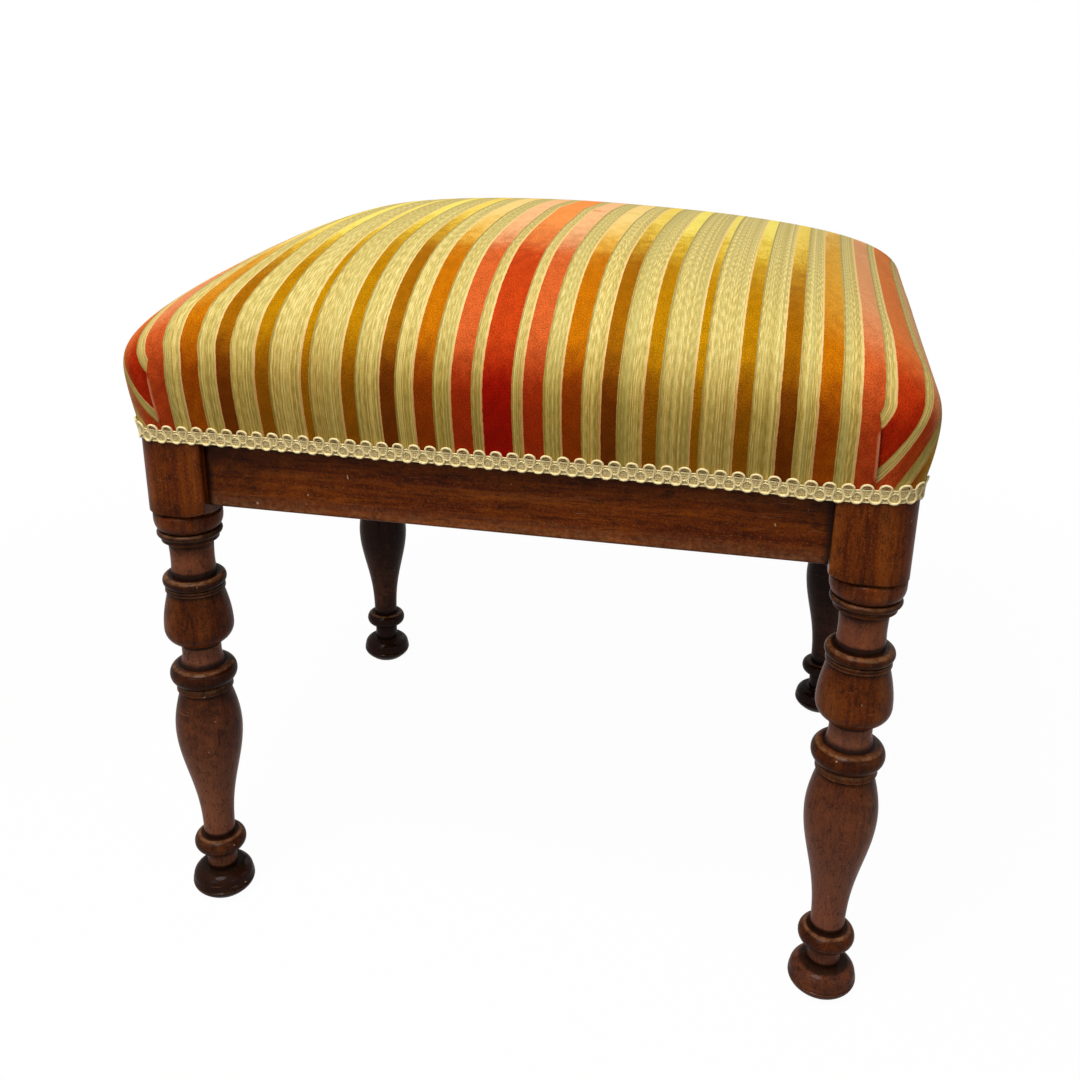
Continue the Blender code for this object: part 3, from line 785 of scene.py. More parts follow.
# %% [markdown]
# Each rail is that section, drawn along its length in many stations and turned to its side, so that the face
# can be a touch uneven as a hand plane leaves it. The lower edge is painted paler, for wear and as a painted
# highlight. The face is painted darker towards the band at the top and just under the band, a painted shade
# under the band and the seat, and the ends and the left are darker. A bevelled box would be quicker, but its
# face would be dead flat.

# %% Rails
FRAME_HALF_X = LEG_AT_X + OUTER_HALF
FRAME_HALF_Y = LEG_AT_Y + OUTER_HALF
RAIL_SETBACK = 0.0064
RAIL_STATIONS = 150
RUBBED_AND_HIGHLIGHT_HEIGHT = 0.0120
DARK_END = 0.06
JOINT_GAP = 0.0003


def make_rail(name, half_length, frame_half, turn, finish):
    section = rail_section(-(frame_half - RAIL_SETBACK))
    stations = np.linspace(-half_length, half_length, RAIL_STATIONS)
    depth, height = section[:, 0], section[:, 1]
    wave = 0.00018 * np.sin(stations * 61 + 0.7) + 0.00012 * np.sin(stations * 143)
    on_face = np.abs(depth - depth.min() - BAND_PROUD) < 1e-6
    x = np.repeat(stations[:, None], len(section), 1)
    y = depth[None, :] + wave[:, None] * on_face[None, :] * np.sin(height * 220)[None, :]
    z = np.repeat(height[None, :], len(stations), 0)
    points = np.stack([x, y, z], -1).reshape(-1, 3)
    points = points @ np.array(Matrix.Rotation(turn, 3, "Z")).T
    count, rows = len(section), len(stations)
    faces = grid_faces(rows, count).tolist()
    last = (rows - 1) * count
    faces += [list(range(count))[::-1], list(range(last, last + count))]
    rail = make_piece(name, points, faces, finish, 32)
    to_end = np.clip(1 - (half_length - np.abs(stations)) / 0.007, 0, 1)
    # painted shade just under the band, where the band overhangs
    shade_under_band = np.clip(1 - (BAND_BOTTOM - height) / 0.004, 0, 1) * (height < BAND_BOTTOM + 0.001)
    hollow = np.maximum(to_end[:, None] * 0.8, shade_under_band[None, :] * 0.5)
    in_front = depth < depth.min() + BAND_PROUD + 0.004
    # the lower edge painted paler: wear, and a painted highlight
    edge = np.clip(1 - (height - RAIL_BOTTOM) / RUBBED_AND_HIGHLIGHT_HEIGHT, 0, 1) * in_front
    # painted shade: the face is darker towards the band at the top, under the seat
    tone = 0.32 * eased((height - RAIL_BOTTOM - 0.002) / (BAND_BOTTOM - RAIL_BOTTOM)) + 0.04
    ends = np.clip(1 - (half_length - np.abs(stations)) / DARK_END, 0, 1)
    darker = 0.26 * ends + 0.14 * eased((-stations - DARK_END) / 0.10)
    paint(rail, "hollow", hollow)
    paint(rail, "age", np.clip(tone[None, :] + darker[:, None], 0, 1))
    paint(rail, "edge", np.repeat(edge[None, :], rows, 0))
    return rail


LONG_HALF = LEG_AT_X - INNER_HALF - JOINT_GAP
SHORT_HALF = LEG_AT_Y - INNER_HALF - JOINT_GAP
RAILS = (
    ("front", LONG_HALF, FRAME_HALF_Y, 0.0, long_walnut),
    ("right", SHORT_HALF, FRAME_HALF_X, math.pi / 2, short_walnut),
    ("back", LONG_HALF, FRAME_HALF_Y, math.pi, long_walnut),
    ("left", SHORT_HALF, FRAME_HALF_X, -math.pi / 2, short_walnut),
)
for place, *form in RAILS:
    dress(make_rail(f"seat_rail_{place}", *form), "walnut", f"rail_{place}")

# %% [markdown]
# ## Striped velvet
# The cover is a striped cloth: cut pile stripes of red, coral, orange, brown and gold on a flat ribbed
# ground of sage and cream. The stripes are mirrored about each red one. The seat carries a UV map in
# metres, across and along the cloth, so the stripes follow the cloth over the edges and into the corners.
# A painted picture of the cloth would do for one view, but stripes measured in metres stay sharp from all
# sides. Each stripe has a name, a width and three colours: deep on the sides, faded on the top and painted
# lighter there for the light from above, and a pale painted sheen for where the pile is seen from the side.

# %% Stripes
RED_MIDDLE = -0.0007
Stripe = namedtuple("Stripe", "name width deep faded tips")


def ground(width, deep, faded):
    """A stripe of the flat ground, which has no pile and so no painted sheen of its own: its faded colour
    stands in.
    """
    return Stripe("ground", width, deep, faded, faded)


STRIPES = (
    Stripe("red", 0.0080, srgb(146, 14, 0), srgb(190, 62, 14), srgb(255, 158, 80)),
    ground(0.0067, srgb(198, 160, 78), srgb(232, 204, 120)),
    Stripe("coral", 0.0117, srgb(152, 42, 6), srgb(206, 94, 40), srgb(255, 200, 142)),
    ground(0.0113, srgb(198, 164, 76), srgb(228, 204, 120)),
    Stripe("orange", 0.0110, srgb(134, 52, 0), srgb(190, 108, 0), srgb(255, 222, 138)),
    ground(0.0115, srgb(198, 166, 80), srgb(226, 203, 118)),
    Stripe("brown", 0.0088, srgb(104, 46, 0), srgb(158, 96, 0), srgb(252, 222, 104)),
    ground(0.0150, srgb(194, 162, 78), srgb(222, 200, 115)),
    Stripe("gold", 0.0080, srgb(134, 78, 0), srgb(178, 122, 0), srgb(255, 236, 116)),
    ground(0.0192, srgb(192, 158, 78), srgb(222, 199, 115)),
    Stripe("thin gold", 0.0025, srgb(140, 86, 0), srgb(184, 130, 0), srgb(252, 232, 116)),
)
HALF_REPEAT = sum(stripe.width for stripe in STRIPES)
LINE_WIDTH = 0.0011
# the facing values over which the pale painted sheen comes in
PAINTED_SHEEN_FROM = 0.66
PAINTED_SHEEN_FULL = 0.89
PAINTED_SHEEN_EARLY = 0.56
THREAD_PITCH = 0.00058
DASH_LENGTH = 0.0105
RAGGED_EDGE = 0.0007
WARM_STRIPES = ("red", "coral", "orange")
YELLOW_STRIPES = ("orange", "brown", "gold", "thin gold")


def stripe_stops(pick):
    starts = np.cumsum([0.0] + [stripe.width for stripe in STRIPES[:-1]]) / HALF_REPEAT
    return [(float(start), pick(stripe)) for start, stripe in zip(starts, STRIPES)]


def pile_mask(stripe):
    return (0.0, 0.0, 0.0) if stripe.name == "ground" else (1.0, 1.0, 1.0)


def early_share(stripe):
    """How soon a stripe's painted sheen begins to show: the warm stripes change over a longer way."""
    share = 1.0 if stripe.name in WARM_STRIPES else 0.5
    return (share, share, share)


def rich_painted_sheen(stripe):
    """The painted sheen's colour where it only begins to show: the yellow ones start from a fuller yellow.
    """
    red, green, blue = stripe.tips
    return (red, green * 0.86, blue * 0.30) if stripe.name in YELLOW_STRIPES else stripe.tips


print("stripe repeat:", round(2 * HALF_REPEAT, 4))

# %% [markdown]
# In the finish a ping-pong folds the distance from the red stripe, and ramps with hard steps give the
# colours. A pale painted sheen, in colours like those of the pile's tips, shows where the pile is seen from
# the side, sooner on the warm stripes than on the yellow ones, and at the left and right ends painted values
# take from it and add to it. The ground is made of straight threads, each with its own brightness and its
# own stitches. The pile, the painted sheen and the ground are three shaders, mixed by masks, because they
# take the light in different ways.

# %% Parts of the velvet


def grey_of(bench, value):
    return bench.node("ShaderNodeCombineColor", None, [value, value, value])


def stepped(bench, share, pick):
    """What each stripe gives, with hard steps between the stripes."""
    settings = {"interpolation": "CONSTANT", "stops": stripe_stops(pick)}
    return bench.node("ShaderNodeValToRGB", settings, {"Fac": share})


def ground_threads(bench, across, along, top):
    """How light each place of the ground is, the tint of its thread, and the round of the thread."""
    thread = (across / THREAD_PITCH).math("FLOOR")
    in_thread = (across / THREAD_PITCH).math("FRACT")
    slip = bench.node("ShaderNodeTexWhiteNoise", {"noise_dimensions": "1D"}, {"W": thread})
    tint = bench.node("ShaderNodeTexWhiteNoise", {"noise_dimensions": "1D"}, {"W": thread + 77.3})
    rib = 1 - (in_thread * 2.0 - 1.0).math("ABSOLUTE")
    along_thread = bench.node("ShaderNodeCombineXYZ", None, [thread * 7.3, along * 90.0])
    run = bench.noise(along_thread, 1.0, 2.0, 0.6)
    dash = (along / DASH_LENGTH * (0.7 + tint * 0.6) + slip * 17.3).math("FRACT")
    stitch = bench.band(dash, 0.05, 0.30) * (1 - bench.band(dash, 0.55, 0.80))
    mixed = slip * (0.50 - top * 0.14) + run * 0.48 + stitch * (0.12 + top * 0.12)
    return bench.band(mixed, 0.24, 0.86), tint, rib


def ground_colour(bench, colour, top, flat, threads):
    """Lays the threads over the plain ground: olive and cream by lightness, some of them sage."""
    light, tint, rib = threads
    # olive, cream and sage each paler on the top, by the fading and painted light value
    olive = bench.mix(top, srgb(142, 116, 46), srgb(186, 162, 84))
    cream = bench.mix(top, srgb(226, 196, 112), srgb(252, 234, 160))
    sage = bench.mix(top, srgb(158, 152, 78), srgb(200, 190, 118))
    colour = bench.mix((1 - bench.band(light, 0.0, 0.5)) * flat * 0.75, colour, olive)
    colour = bench.mix(bench.band(light, 0.5, 1.0) * flat * 0.75, colour, cream)
    colour = bench.mix(bench.band(tint, 0.56, 0.60) * flat * 0.45, colour, sage)
    return bench.mix((1 - bench.band(rib, 0.1, 0.6)) * flat * 0.16, colour, srgb(96, 78, 30))


def painted_pile_sheen(bench, here, soft, crush, worn):
    """How much painted sheen shows, and its colour: a pale colour mixed in by viewing angle, and by place at
    the ends.
    """
    facing = bench.node("ShaderNodeLayerWeight", None, {"Blend": 0.5}, 1)
    uneven = (soft - 0.5) * 0.10 + (crush - 0.5) * 0.16 + (worn - 0.5) * 0.12
    # painted by place: the painted sheen held back on the top at the left and right ends
    leaning = facing + bench.attribute("brushed") + uneven
    nap = bench.attribute("nap")
    # painted by place: a weaker painted sheen added lower down at the left and right ends
    raised = nap * bench.band(facing + (crush - 0.5) * 0.3, 0.28, 0.95) * 0.55
    early = bench.band(leaning, PAINTED_SHEEN_EARLY, PAINTED_SHEEN_FULL) * stepped(bench, here, early_share)
    shown = bench.band(leaning, PAINTED_SHEEN_FROM, PAINTED_SHEEN_FULL)
    shown = shown.math("MAXIMUM", raised * (0.7 + soft * 0.6))
    shown = shown.math("MAXIMUM", early * (1 - nap * 0.7))
    full = bench.band(shown, 0.45, 1.0)
    rich = stepped(bench, here, rich_painted_sheen)
    return shown, bench.mix(full, rich, stepped(bench, here, lambda stripe: stripe.tips))


print("velvet's parts ready")

# %% [markdown]
# The parts are put together: the stripes with their ragged edges and the two fine lines beside each pile
# stripe, the fading of the top, which is also painted lighter, the ground's threads, the fine and coarse
# unevenness of the pile, and the pale line along a fold, where the pile opens, which is also a painted
# highlight.

# %% Velvet


def velvet():
    made, bench = new_finish("striped velvet")
    cloth = bench.node("ShaderNodeUVMap", {"uv_map": "cloth"})
    across = bench.node("ShaderNodeSeparateXYZ", None, [cloth])
    ragged = bench.noise(bench.stretch(cloth, (900.0, 300.0, 1.0)), 1.0, 2.0)
    wavering = across + (ragged - 0.5) * RAGGED_EDGE

    def folded(shift):
        return (wavering - (RED_MIDDLE - shift)).math("PINGPONG", HALF_REPEAT) / HALF_REPEAT

    here = folded(0.0)
    pile = stepped(bench, here, pile_mask) * 1.0
    flat = 1 - pile
    pale_line = stepped(bench, folded(LINE_WIDTH), pile_mask) * flat
    dark_line = stepped(bench, folded(-LINE_WIDTH), pile_mask) * flat
    fine = bench.noise(bench.stretch(cloth, (1500.0, 1100.0, 1.0)), 1.0, 2.0, 0.6)
    crush = bench.noise(bench.stretch(cloth, (170.0, 110.0, 1.0)), 1.0, 3.0, 0.6)
    worn = bench.noise(bench.stretch(cloth, (34.0, 16.0, 1.0)), 1.0, 2.0)
    soft = bench.band(fine, 0.34, 0.66)
    tuft = bench.band(crush, 0.36, 0.64)

    # top runs from 0 on the sides to 1 on the top: the top is faded, and also painted lighter as painted
    # light from above
    top = bench.attribute("top")
    # the pile's fading and painted light, made uneven by noise
    rubbed = bench.band(top + (worn - 0.5) * 0.5 + (crush - 0.5) * 0.35, 0.0, 1.0)
    deep = stepped(bench, here, lambda stripe: stripe.deep)
    faded = stepped(bench, here, lambda stripe: stripe.faded)
    colour = bench.mix(top * flat + rubbed * pile, deep, faded)
    light, tint, rib = ground_threads(bench, across, across.other("Y"), top)
    colour = ground_colour(bench, colour, top, flat, (light, tint, rib))
    selvedge = bench.mix(top, srgb(212, 152, 96), srgb(252, 214, 146))
    colour = bench.mix(pale_line * 0.70, colour, selvedge)
    colour = bench.mix(dark_line * 0.45, colour, srgb(110, 84, 28))
    shade = 1 + (soft - 0.5) * (pile * 0.50 + 0.14) + (tuft - 0.5) * pile * 0.16
    colour = bench.mix(1.0, colour, grey_of(bench, shade), "MULTIPLY")
    # the pale line along a fold: the pile opens there, and it is also a painted highlight
    colour = bench.mix(bench.attribute("fold") * 0.6, colour, srgb(232, 158, 118))

    weft = bench.noise(bench.stretch(cloth, (260.0, 2600.0, 1.0)), 1.0, 1.0)
    height = pile * 0.6 + fine * 0.3 + (rib * 0.3 + weft * 0.3) * flat + crush * pile * 0.7
    normal = bench.bump(height, 0.0006, 0.6)
    flat_shader = bench.node("ShaderNodeBsdfPrincipled", None, {
        "Base Color": colour, "Normal": normal, "Roughness": 0.7, "Specular IOR Level": 0.06,
    })
    pile_shader = bench.node("ShaderNodeBsdfPrincipled", None, {
        "Base Color": colour, "Normal": normal, "Roughness": 0.85, "Specular IOR Level": 0.05,
        "Sheen Weight": 0.08, "Sheen Roughness": 0.35, "Sheen Tint": (1.0, 0.80, 0.42, 1.0),
    })
    # the pale painted sheen, mixed over the pile by viewing angle
    shown, tips = painted_pile_sheen(bench, here, soft, crush, worn)
    painted_sheen_shader = bench.node("ShaderNodeBsdfPrincipled", None, {
        "Base Color": tips, "Normal": normal, "Roughness": 0.9, "Specular IOR Level": 0.05,
    })
    pile_shader = bench.node("ShaderNodeMixShader", None, [shown, pile_shader, painted_sheen_shader])
    surface(bench, bench.node("ShaderNodeMixShader", None, [pile, flat_shader, pile_shader]))
    return made


seat_velvet = velvet()
print("velvet nodes:", len(seat_velvet.node_tree.nodes))

# %% [markdown]
# ## The stuffed seat
# The seat is a hair pad over webbing, with wadding and the cover pulled down over it and tacked to the
# rails. It is drawn as one closed form from the hem up: a skirt, a wall that swells out above the braid, a
# long soft shoulder and a crowned top. It isn't quite even: the picture shows more swell on the right and
# the back, and the highest place left of the middle. A box with a Subdivision Surface would be simpler,
# but it couldn't hold sharp folds. Here the rings have the same columns all the way up, so the corner
# folds can have columns of their own.

# %% Seat sizes
HEM_HEIGHT = 0.3540
WALL_RINGS = 30
SHOULDER_RINGS = 48
TOP_RINGS = 38
KNEE_REACH = 6
HEM_OUT = -0.0003
FLARE_FROM = 0.3560
WIDEST_HEIGHT = 0.4019
EDGE_LEFT, EDGE_RIGHT = -0.2402, 0.2438
EDGE_FRONT, EDGE_BACK = -0.2100, 0.2144
SHOULDER_REACH = 0.0972
SHOULDER_RISE = 0.0472
CROWN = 0.0281
CORNER_SPREAD = 0.572
HEM_RADIUS = 0.0182
SEAT_RADII = np.array([0.0252, 0.0179, 0.0200, 0.0187])  # right front, right back, left back, left front
FOLD_TOP = 0.4085
FOLD_RUN = 0.016
FOLD_AT = {"front": (-0.2165, 0.2105), "back": (-0.2135, 0.2115)}
MILLIMETRE = 0.001
FOLD_REST = MILLIMETRE * np.array([
    -16, -12, -9, -6.5, -4.5, -3, -2, -1.2, -0.6, -0.2, 0,
    0.15, 0.3, 0.45, 0.6, 0.8, 1.3, 2.2, 3.5,
])
FOLD_PLACE = MILLIMETRE * np.array([
    -16, -12, -9, -6.5, -4.5, -3, -2, -1.2, -0.6, -0.2, 0,
    -0.3, -1.3, -2.2, -1.0, 0.3, 1.2, 2.2, 3.5,
])
FOLD_OUT = MILLIMETRE * np.array([
    0, 0.1, 0.28, 0.5, 0.75, 1, 1.2, 1.35, 1.45, 1.4, 1.15,
    0.55, 0.1, -0.35, -0.7, -0.85, -0.75, -0.5, -0.2,
])
FOLD_EDGE = 10
FOLD_CLEAR = 0.002


def straight_columns(start, end, folds):
    """Places along a straight side, with a set of close columns for each fold that lies on it."""
    places = list(np.linspace(start, end, 74)[1:-1])
    rows = []
    for fold, way in folds:
        rest = fold + way * FOLD_REST
        low, high = rest.min() - FOLD_CLEAR, rest.max() + FOLD_CLEAR
        places = [p for p in places if p < low or p > high]
        for i, place in enumerate(rest):
            rows.append((place, way * (FOLD_PLACE[i] - FOLD_REST[i]), FOLD_OUT[i], i > FOLD_EDGE))
    for p in places:
        beyond = any(way * (p - fold) > 0 for fold, way in folds)
        rows.append((p, 0.0, 0.0, beyond))
    rows = np.array(sorted(rows, key=lambda row: row[0]), dtype=float)
    return (rows[:, 0] - start) / (end - start), rows[:, 1], rows[:, 2], rows[:, 3]


def folded_columns(side, left_radius, right_radius):
    """The columns of the front or the back, between its two corners."""
    folds = list(zip(FOLD_AT[side], (-1, 1)))
    return straight_columns(EDGE_LEFT + left_radius, EDGE_RIGHT - right_radius, folds)


FRONT_COLUMNS = folded_columns("front", SEAT_RADII[3], SEAT_RADII[0])
BACK_COLUMNS = folded_columns("back", SEAT_RADII[2], SEAT_RADII[1])
SIDE_COLUMNS = np.linspace(0, 1, 62)[1:-1]
ARC_COLUMNS = np.linspace(0, 1, 26)
STRAIGHT_COUNT = len(FRONT_COLUMNS[0]) + len(BACK_COLUMNS[0]) + 2 * len(SIDE_COLUMNS)
COLUMNS = STRAIGHT_COUNT + 4 * len(ARC_COLUMNS)
print("columns round the seat:", COLUMNS)

# %% [markdown]
# One ring of the seat goes anticlockwise from the front left: along the front, round the right front
# corner, along the right side, and so on. With each point goes its share of the fold, the way out of the
# ring, and its distance along the ring from the nearer front or back corner, which the stripes need.

# %% Seat rings


def seat_ring(edges, radii, fold):
    left, right, front, back = edges
    pieces, outs, lifts, beyond, sides, runs = [], [], [], [], [], []

    def add(points, out, lift, past, side, run):
        count = len(points)
        pieces.append(points)
        outs.append(np.broadcast_to(out, (count, 2)))
        lifts.append(np.broadcast_to(lift, count))
        beyond.append(np.broadcast_to(past, count))
        sides.append(np.broadcast_to(side, count))
        runs.append(np.broadcast_to(run, count))

    def add_straight(columns, start, end, y, out, reverse):
        share, across, lift, past = columns
        x = start + (end - start) * share + across * fold
        side = np.where(x > (left + right) / 2, 1.0, -1.0)
        points = np.stack([x, np.full(len(x), y)], -1)
        order = slice(None, None, -1) if reverse else slice(None)
        add(points[order], out, (lift * fold)[order], past[order], side[order], 0.0)

    def add_arc(centre, radius, quarter, side, reverse):
        turn = np.pi / 2 * (quarter + ARC_COLUMNS)
        out = np.stack([np.cos(turn), np.sin(turn)], -1)
        run = radius * np.pi / 2 * (1 - ARC_COLUMNS if reverse else ARC_COLUMNS)
        add(np.array(centre) + radius * out, out, 0.0, 1.0, side, run)

    def add_side(x, start, end, out, side, first, last):
        y = start + (end - start) * SIDE_COLUMNS
        points = np.stack([np.full(len(y), x), y], -1)
        from_start = first * np.pi / 2 + np.abs(y - start)
        from_end = last * np.pi / 2 + np.abs(end - y)
        add(points, out, 0.0, 1.0, side, np.minimum(from_start, from_end))

    fr, br, bl, fl = radii
    add_straight(FRONT_COLUMNS, left + fl, right - fr, front, (0, -1), False)
    add_arc((right - fr, front + fr), fr, 3, 1.0, False)
    add_side(right, front + fr, back - br, (1, 0), 1.0, fr, br)
    add_arc((right - br, back - br), br, 0, 1.0, True)
    add_straight(BACK_COLUMNS, left + bl, right - br, back, (0, 1), True)
    add_arc((left + bl, back - bl), bl, 1, -1.0, False)
    add_side(left, back - bl, front + fl, (-1, 0), -1.0, bl, fl)
    add_arc((left + fl, front + fl), fl, 2, -1.0, True)
    return [np.concatenate(part) for part in (pieces, outs, lifts, beyond, sides, runs)]


print("seat ring ready")

# %% [markdown]
# The rings are stacked from the hem up. They follow the wall to its widest line, then a quarter of an
# ellipse over the shoulder, and then they shrink to the middle of the top. A crown is added to their
# height, and a running mean rounds off the line between the wall and the shoulder. A loft through a few
# sections would be shorter, but here each size is one that can be measured in the picture.

# %% Stack of rings


def crown_at(points):
    x = np.where(points[:, 0] > 0, points[:, 0] / EDGE_RIGHT, points[:, 0] / EDGE_LEFT)
    y = np.where(points[:, 1] > 0, points[:, 1] / EDGE_BACK, points[:, 1] / EDGE_FRONT)
    lean = 1 - 0.308 * points[:, 0] / FRAME_HALF_X - 0.078 * points[:, 1] / FRAME_HALF_Y
    return CROWN * (1 - np.clip(x, 0, 1) ** 2.06) * (1 - np.clip(y, 0, 1) ** 2.06) * lean


WIDEST = np.array([EDGE_LEFT, EDGE_RIGHT, EDGE_FRONT, EDGE_BACK])
OUTWARD = np.array([-1, 1, -1, 1])


def frame_edges(out):
    """The left, right, front and back of the frame, moved out by so much."""
    return np.array([-FRAME_HALF_X, FRAME_HALF_X, -FRAME_HALF_Y, FRAME_HALF_Y]) + out * OUTWARD


def wall_outline(height):
    """Edges and corner radii of the cover between the hem and its widest line."""
    hem = frame_edges(HEM_OUT)
    share = math.sin(np.clip((height - FLARE_FROM) / (WIDEST_HEIGHT - FLARE_FROM), 0, 1) * math.pi / 2)
    return hem + (WIDEST - hem) * share, HEM_RADIUS + (SEAT_RADII - HEM_RADIUS) * share


def softened(stations):
    """Round off the line where the wall meets the shoulder, by a running mean along the section."""
    result = list(stations)
    for ring in range(2, len(stations) - 2):
        reach = min(KNEE_REACH, ring, len(stations) - 1 - ring)
        near = stations[ring - reach:ring + reach + 1]
        parts = [[np.asarray(part) for part in station] for station in near]
        result[ring] = tuple(sum(part) / len(near) for part in zip(*parts))
    return result


def seat_stations():
    """Edges, corner radii, height and inset of every ring, from the hem to the top's middle."""
    stations = []
    for height in np.linspace(HEM_HEIGHT, WIDEST_HEIGHT, WALL_RINGS):
        edges, radii = wall_outline(height)
        stations.append((edges, radii, height, 0.0))
    for turn in np.linspace(0, math.pi / 2, SHOULDER_RINGS + 1)[1:]:
        inset = SHOULDER_REACH * (1 - math.cos(turn))
        height = WIDEST_HEIGHT + SHOULDER_RISE * math.sin(turn)
        stations.append((WIDEST - OUTWARD * inset, SEAT_RADII + CORNER_SPREAD * inset, height, inset))
    stations = softened(stations)
    edges, radii, height, inset = stations[-1]
    for share in np.linspace(1, 0, TOP_RINGS + 2)[1:-1]:
        stations.append((edges * share, radii * share, height, inset))
    return stations


stations = seat_stations()
print("rings up the seat:", len(stations))

# %% [markdown]
# The cloth's own measure is worked out with the shape. The weft lies in upright planes from left to right,
# so the measure across a stripe is the length of the seat's section in that plane, from the middle. Near
# the front it is nearly the plain distance, and on the sides it is longer, because the cloth has gone
# down over the shoulder. The same sum from front to back gives the measure along. A table of the extra
# length, line by line, is enough, because it changes slowly. Unwrapping would give a flat map too, but it
# spreads the stretch evenly, and the stripes wouldn't fall as those of cloth do.

# %% Places on the seat


def inset_at(across, along):
    """How far inside the widest outline a place lies, as the inset of the ring that goes through it."""
    low = np.zeros(across.shape)
    high = np.full(across.shape, SHOULDER_REACH)
    right, behind = across > 0, along > 0
    front_radius = np.where(right, SEAT_RADII[0], SEAT_RADII[3])
    back_radius = np.where(right, SEAT_RADII[1], SEAT_RADII[2])
    radius = np.where(behind, back_radius, front_radius)
    edge_x = np.where(right, EDGE_RIGHT, -EDGE_LEFT)
    edge_y = np.where(behind, EDGE_BACK, -EDGE_FRONT)
    for _ in range(26):
        inset = (low + high) / 2
        round_by = radius + CORNER_SPREAD * inset
        gap_x = np.abs(across) - (edge_x - inset - round_by)
        gap_y = np.abs(along) - (edge_y - inset - round_by)
        past_corner = np.hypot(np.maximum(gap_x, 0), np.maximum(gap_y, 0))
        before_edge = np.minimum(np.maximum(gap_x, gap_y), 0)
        outside = past_corner + before_edge > round_by
        low, high = np.where(outside, low, inset), np.where(outside, inset, high)
    return (low + high) / 2


def height_at(across, along):
    turn = np.arccos(np.clip(1 - inset_at(across, along) / SHOULDER_REACH, 0, 1))
    places = np.stack([across.ravel(), along.ravel()], -1)
    return WIDEST_HEIGHT + SHOULDER_RISE * np.sin(turn) + crown_at(places).reshape(across.shape)


print("middle of the top:", round(float(height_at(np.zeros(1), np.zeros(1))[0]), 4))

# %% [markdown]
# The lengths are tabled on lines that run from the middle to the edge of the widest outline. The lines,
# and the places on each, lie closer towards the edges, where the section is steep and the length grows
# fast. Between them the length is read off in proportion.

# %% Cloth measure
LINES = 160


def half_chord(level, end, edges, radii):
    """Half the width of the widest outline on a line at a level, on the side whose edge is given."""
    low_edge, high_edge = edges
    radius = np.where(level > 0, radii[1], radii[0])
    into = np.where(level > 0, level - (high_edge - radius), (low_edge + radius) - level)
    into = np.clip(into, 0, radius)
    return end - radius + np.sqrt(np.maximum(radius ** 2 - into ** 2, 0))


def extra_table(across_x):
    """For lines across the seat, the length that the shoulder adds, by line and by share of the line."""
    ends = (EDGE_FRONT, EDGE_BACK) if across_x else (EDGE_LEFT, EDGE_RIGHT)
    levels = ends[0] + (ends[1] - ends[0]) * (1 - np.cos(np.linspace(0, np.pi, LINES))) / 2
    shares = np.sin(np.linspace(0, np.pi / 2, 240))
    tables = {}
    for way in (-1, 1):
        if across_x:
            radii = (SEAT_RADII[0], SEAT_RADII[1]) if way > 0 else (SEAT_RADII[3], SEAT_RADII[2])
            end = EDGE_RIGHT if way > 0 else -EDGE_LEFT
        else:
            radii = (SEAT_RADII[2], SEAT_RADII[1]) if way > 0 else (SEAT_RADII[3], SEAT_RADII[0])
            end = EDGE_BACK if way > 0 else -EDGE_FRONT
        chord = half_chord(levels, end, ends, radii)
        run = chord[:, None] * shares[None, :]
        line = np.repeat(levels[:, None], len(shares), 1)
        z = height_at(way * run, line) if across_x else height_at(line, way * run)
        length = np.cumsum(np.hypot(np.diff(run, axis=1), np.diff(z, axis=1)), axis=1)
        tables[way] = (np.concatenate([np.zeros((LINES, 1)), length], 1) - run, chord)
    return levels, tables


def read_extra(made, run, level):
    """The extra length at places on the seat, between the table's lines."""
    levels, tables = made
    result = np.zeros(len(run))
    line = np.interp(level, levels, np.arange(LINES))
    first = np.clip(line.astype(int), 0, LINES - 2)
    part = line - first
    for way, (table, chord) in tables.items():
        here = run * way > 0
        total = chord[first] * (1 - part) + chord[first + 1] * part
        last = table.shape[1] - 1
        along = np.clip(np.abs(run) / np.maximum(total, 1e-6), 0, 1)
        share = np.arcsin(along) / (np.pi / 2) * last
        left = np.clip(share.astype(int), 0, last - 1)
        rest = share - left
        low = table[first, left] * (1 - rest) + table[first, left + 1] * rest
        high = table[first + 1, left] * (1 - rest) + table[first + 1, left + 1] * rest
        result = np.where(here, low * (1 - part) + high * part, result)
    return result


extra_across = extra_table(True)
extra_along = extra_table(False)
print("cloth over the right shoulder adds:", round(float(extra_across[1][1][0][LINES // 2, -1]), 4))

# %% [markdown]
# Now every ring is made. Under a fold the spare cloth is tucked away, so beyond the fold's edge the measure
# jumps on, more and more towards the hem, where the braid presses the fold flat. The cover was not laid
# quite straight, so the stripes drift. The value for fading goes from the sides to the top: the top is faded
# and also painted lighter, a painted light from above, and it is painted a little darker towards the back, a
# painted shade. Along the folds goes a painted highlight.

# %% Seat shape
HANGS = 0.75
TUCK_AT_FOLD = 0.70
FOLD_UNDER_BRAID = 0.10
FOLD_FREE_FROM = 0.3570
FOLD_FREE_OVER = 0.0120
# the painted highlight along a fold's edge
FOLD_HIGHLIGHT_FROM = 0.00125
FOLD_HIGHLIGHT_OVER = 0.0002
LEAN_LEFT, LEAN_RIGHT = 0.0084, 0.0128
TUCK_REACH = 0.140
# where the top's fading and painted light start above the widest line, and how far they rise
FADE_AND_LIGHT_START = -0.006
FADE_AND_LIGHT_RISE = 0.050


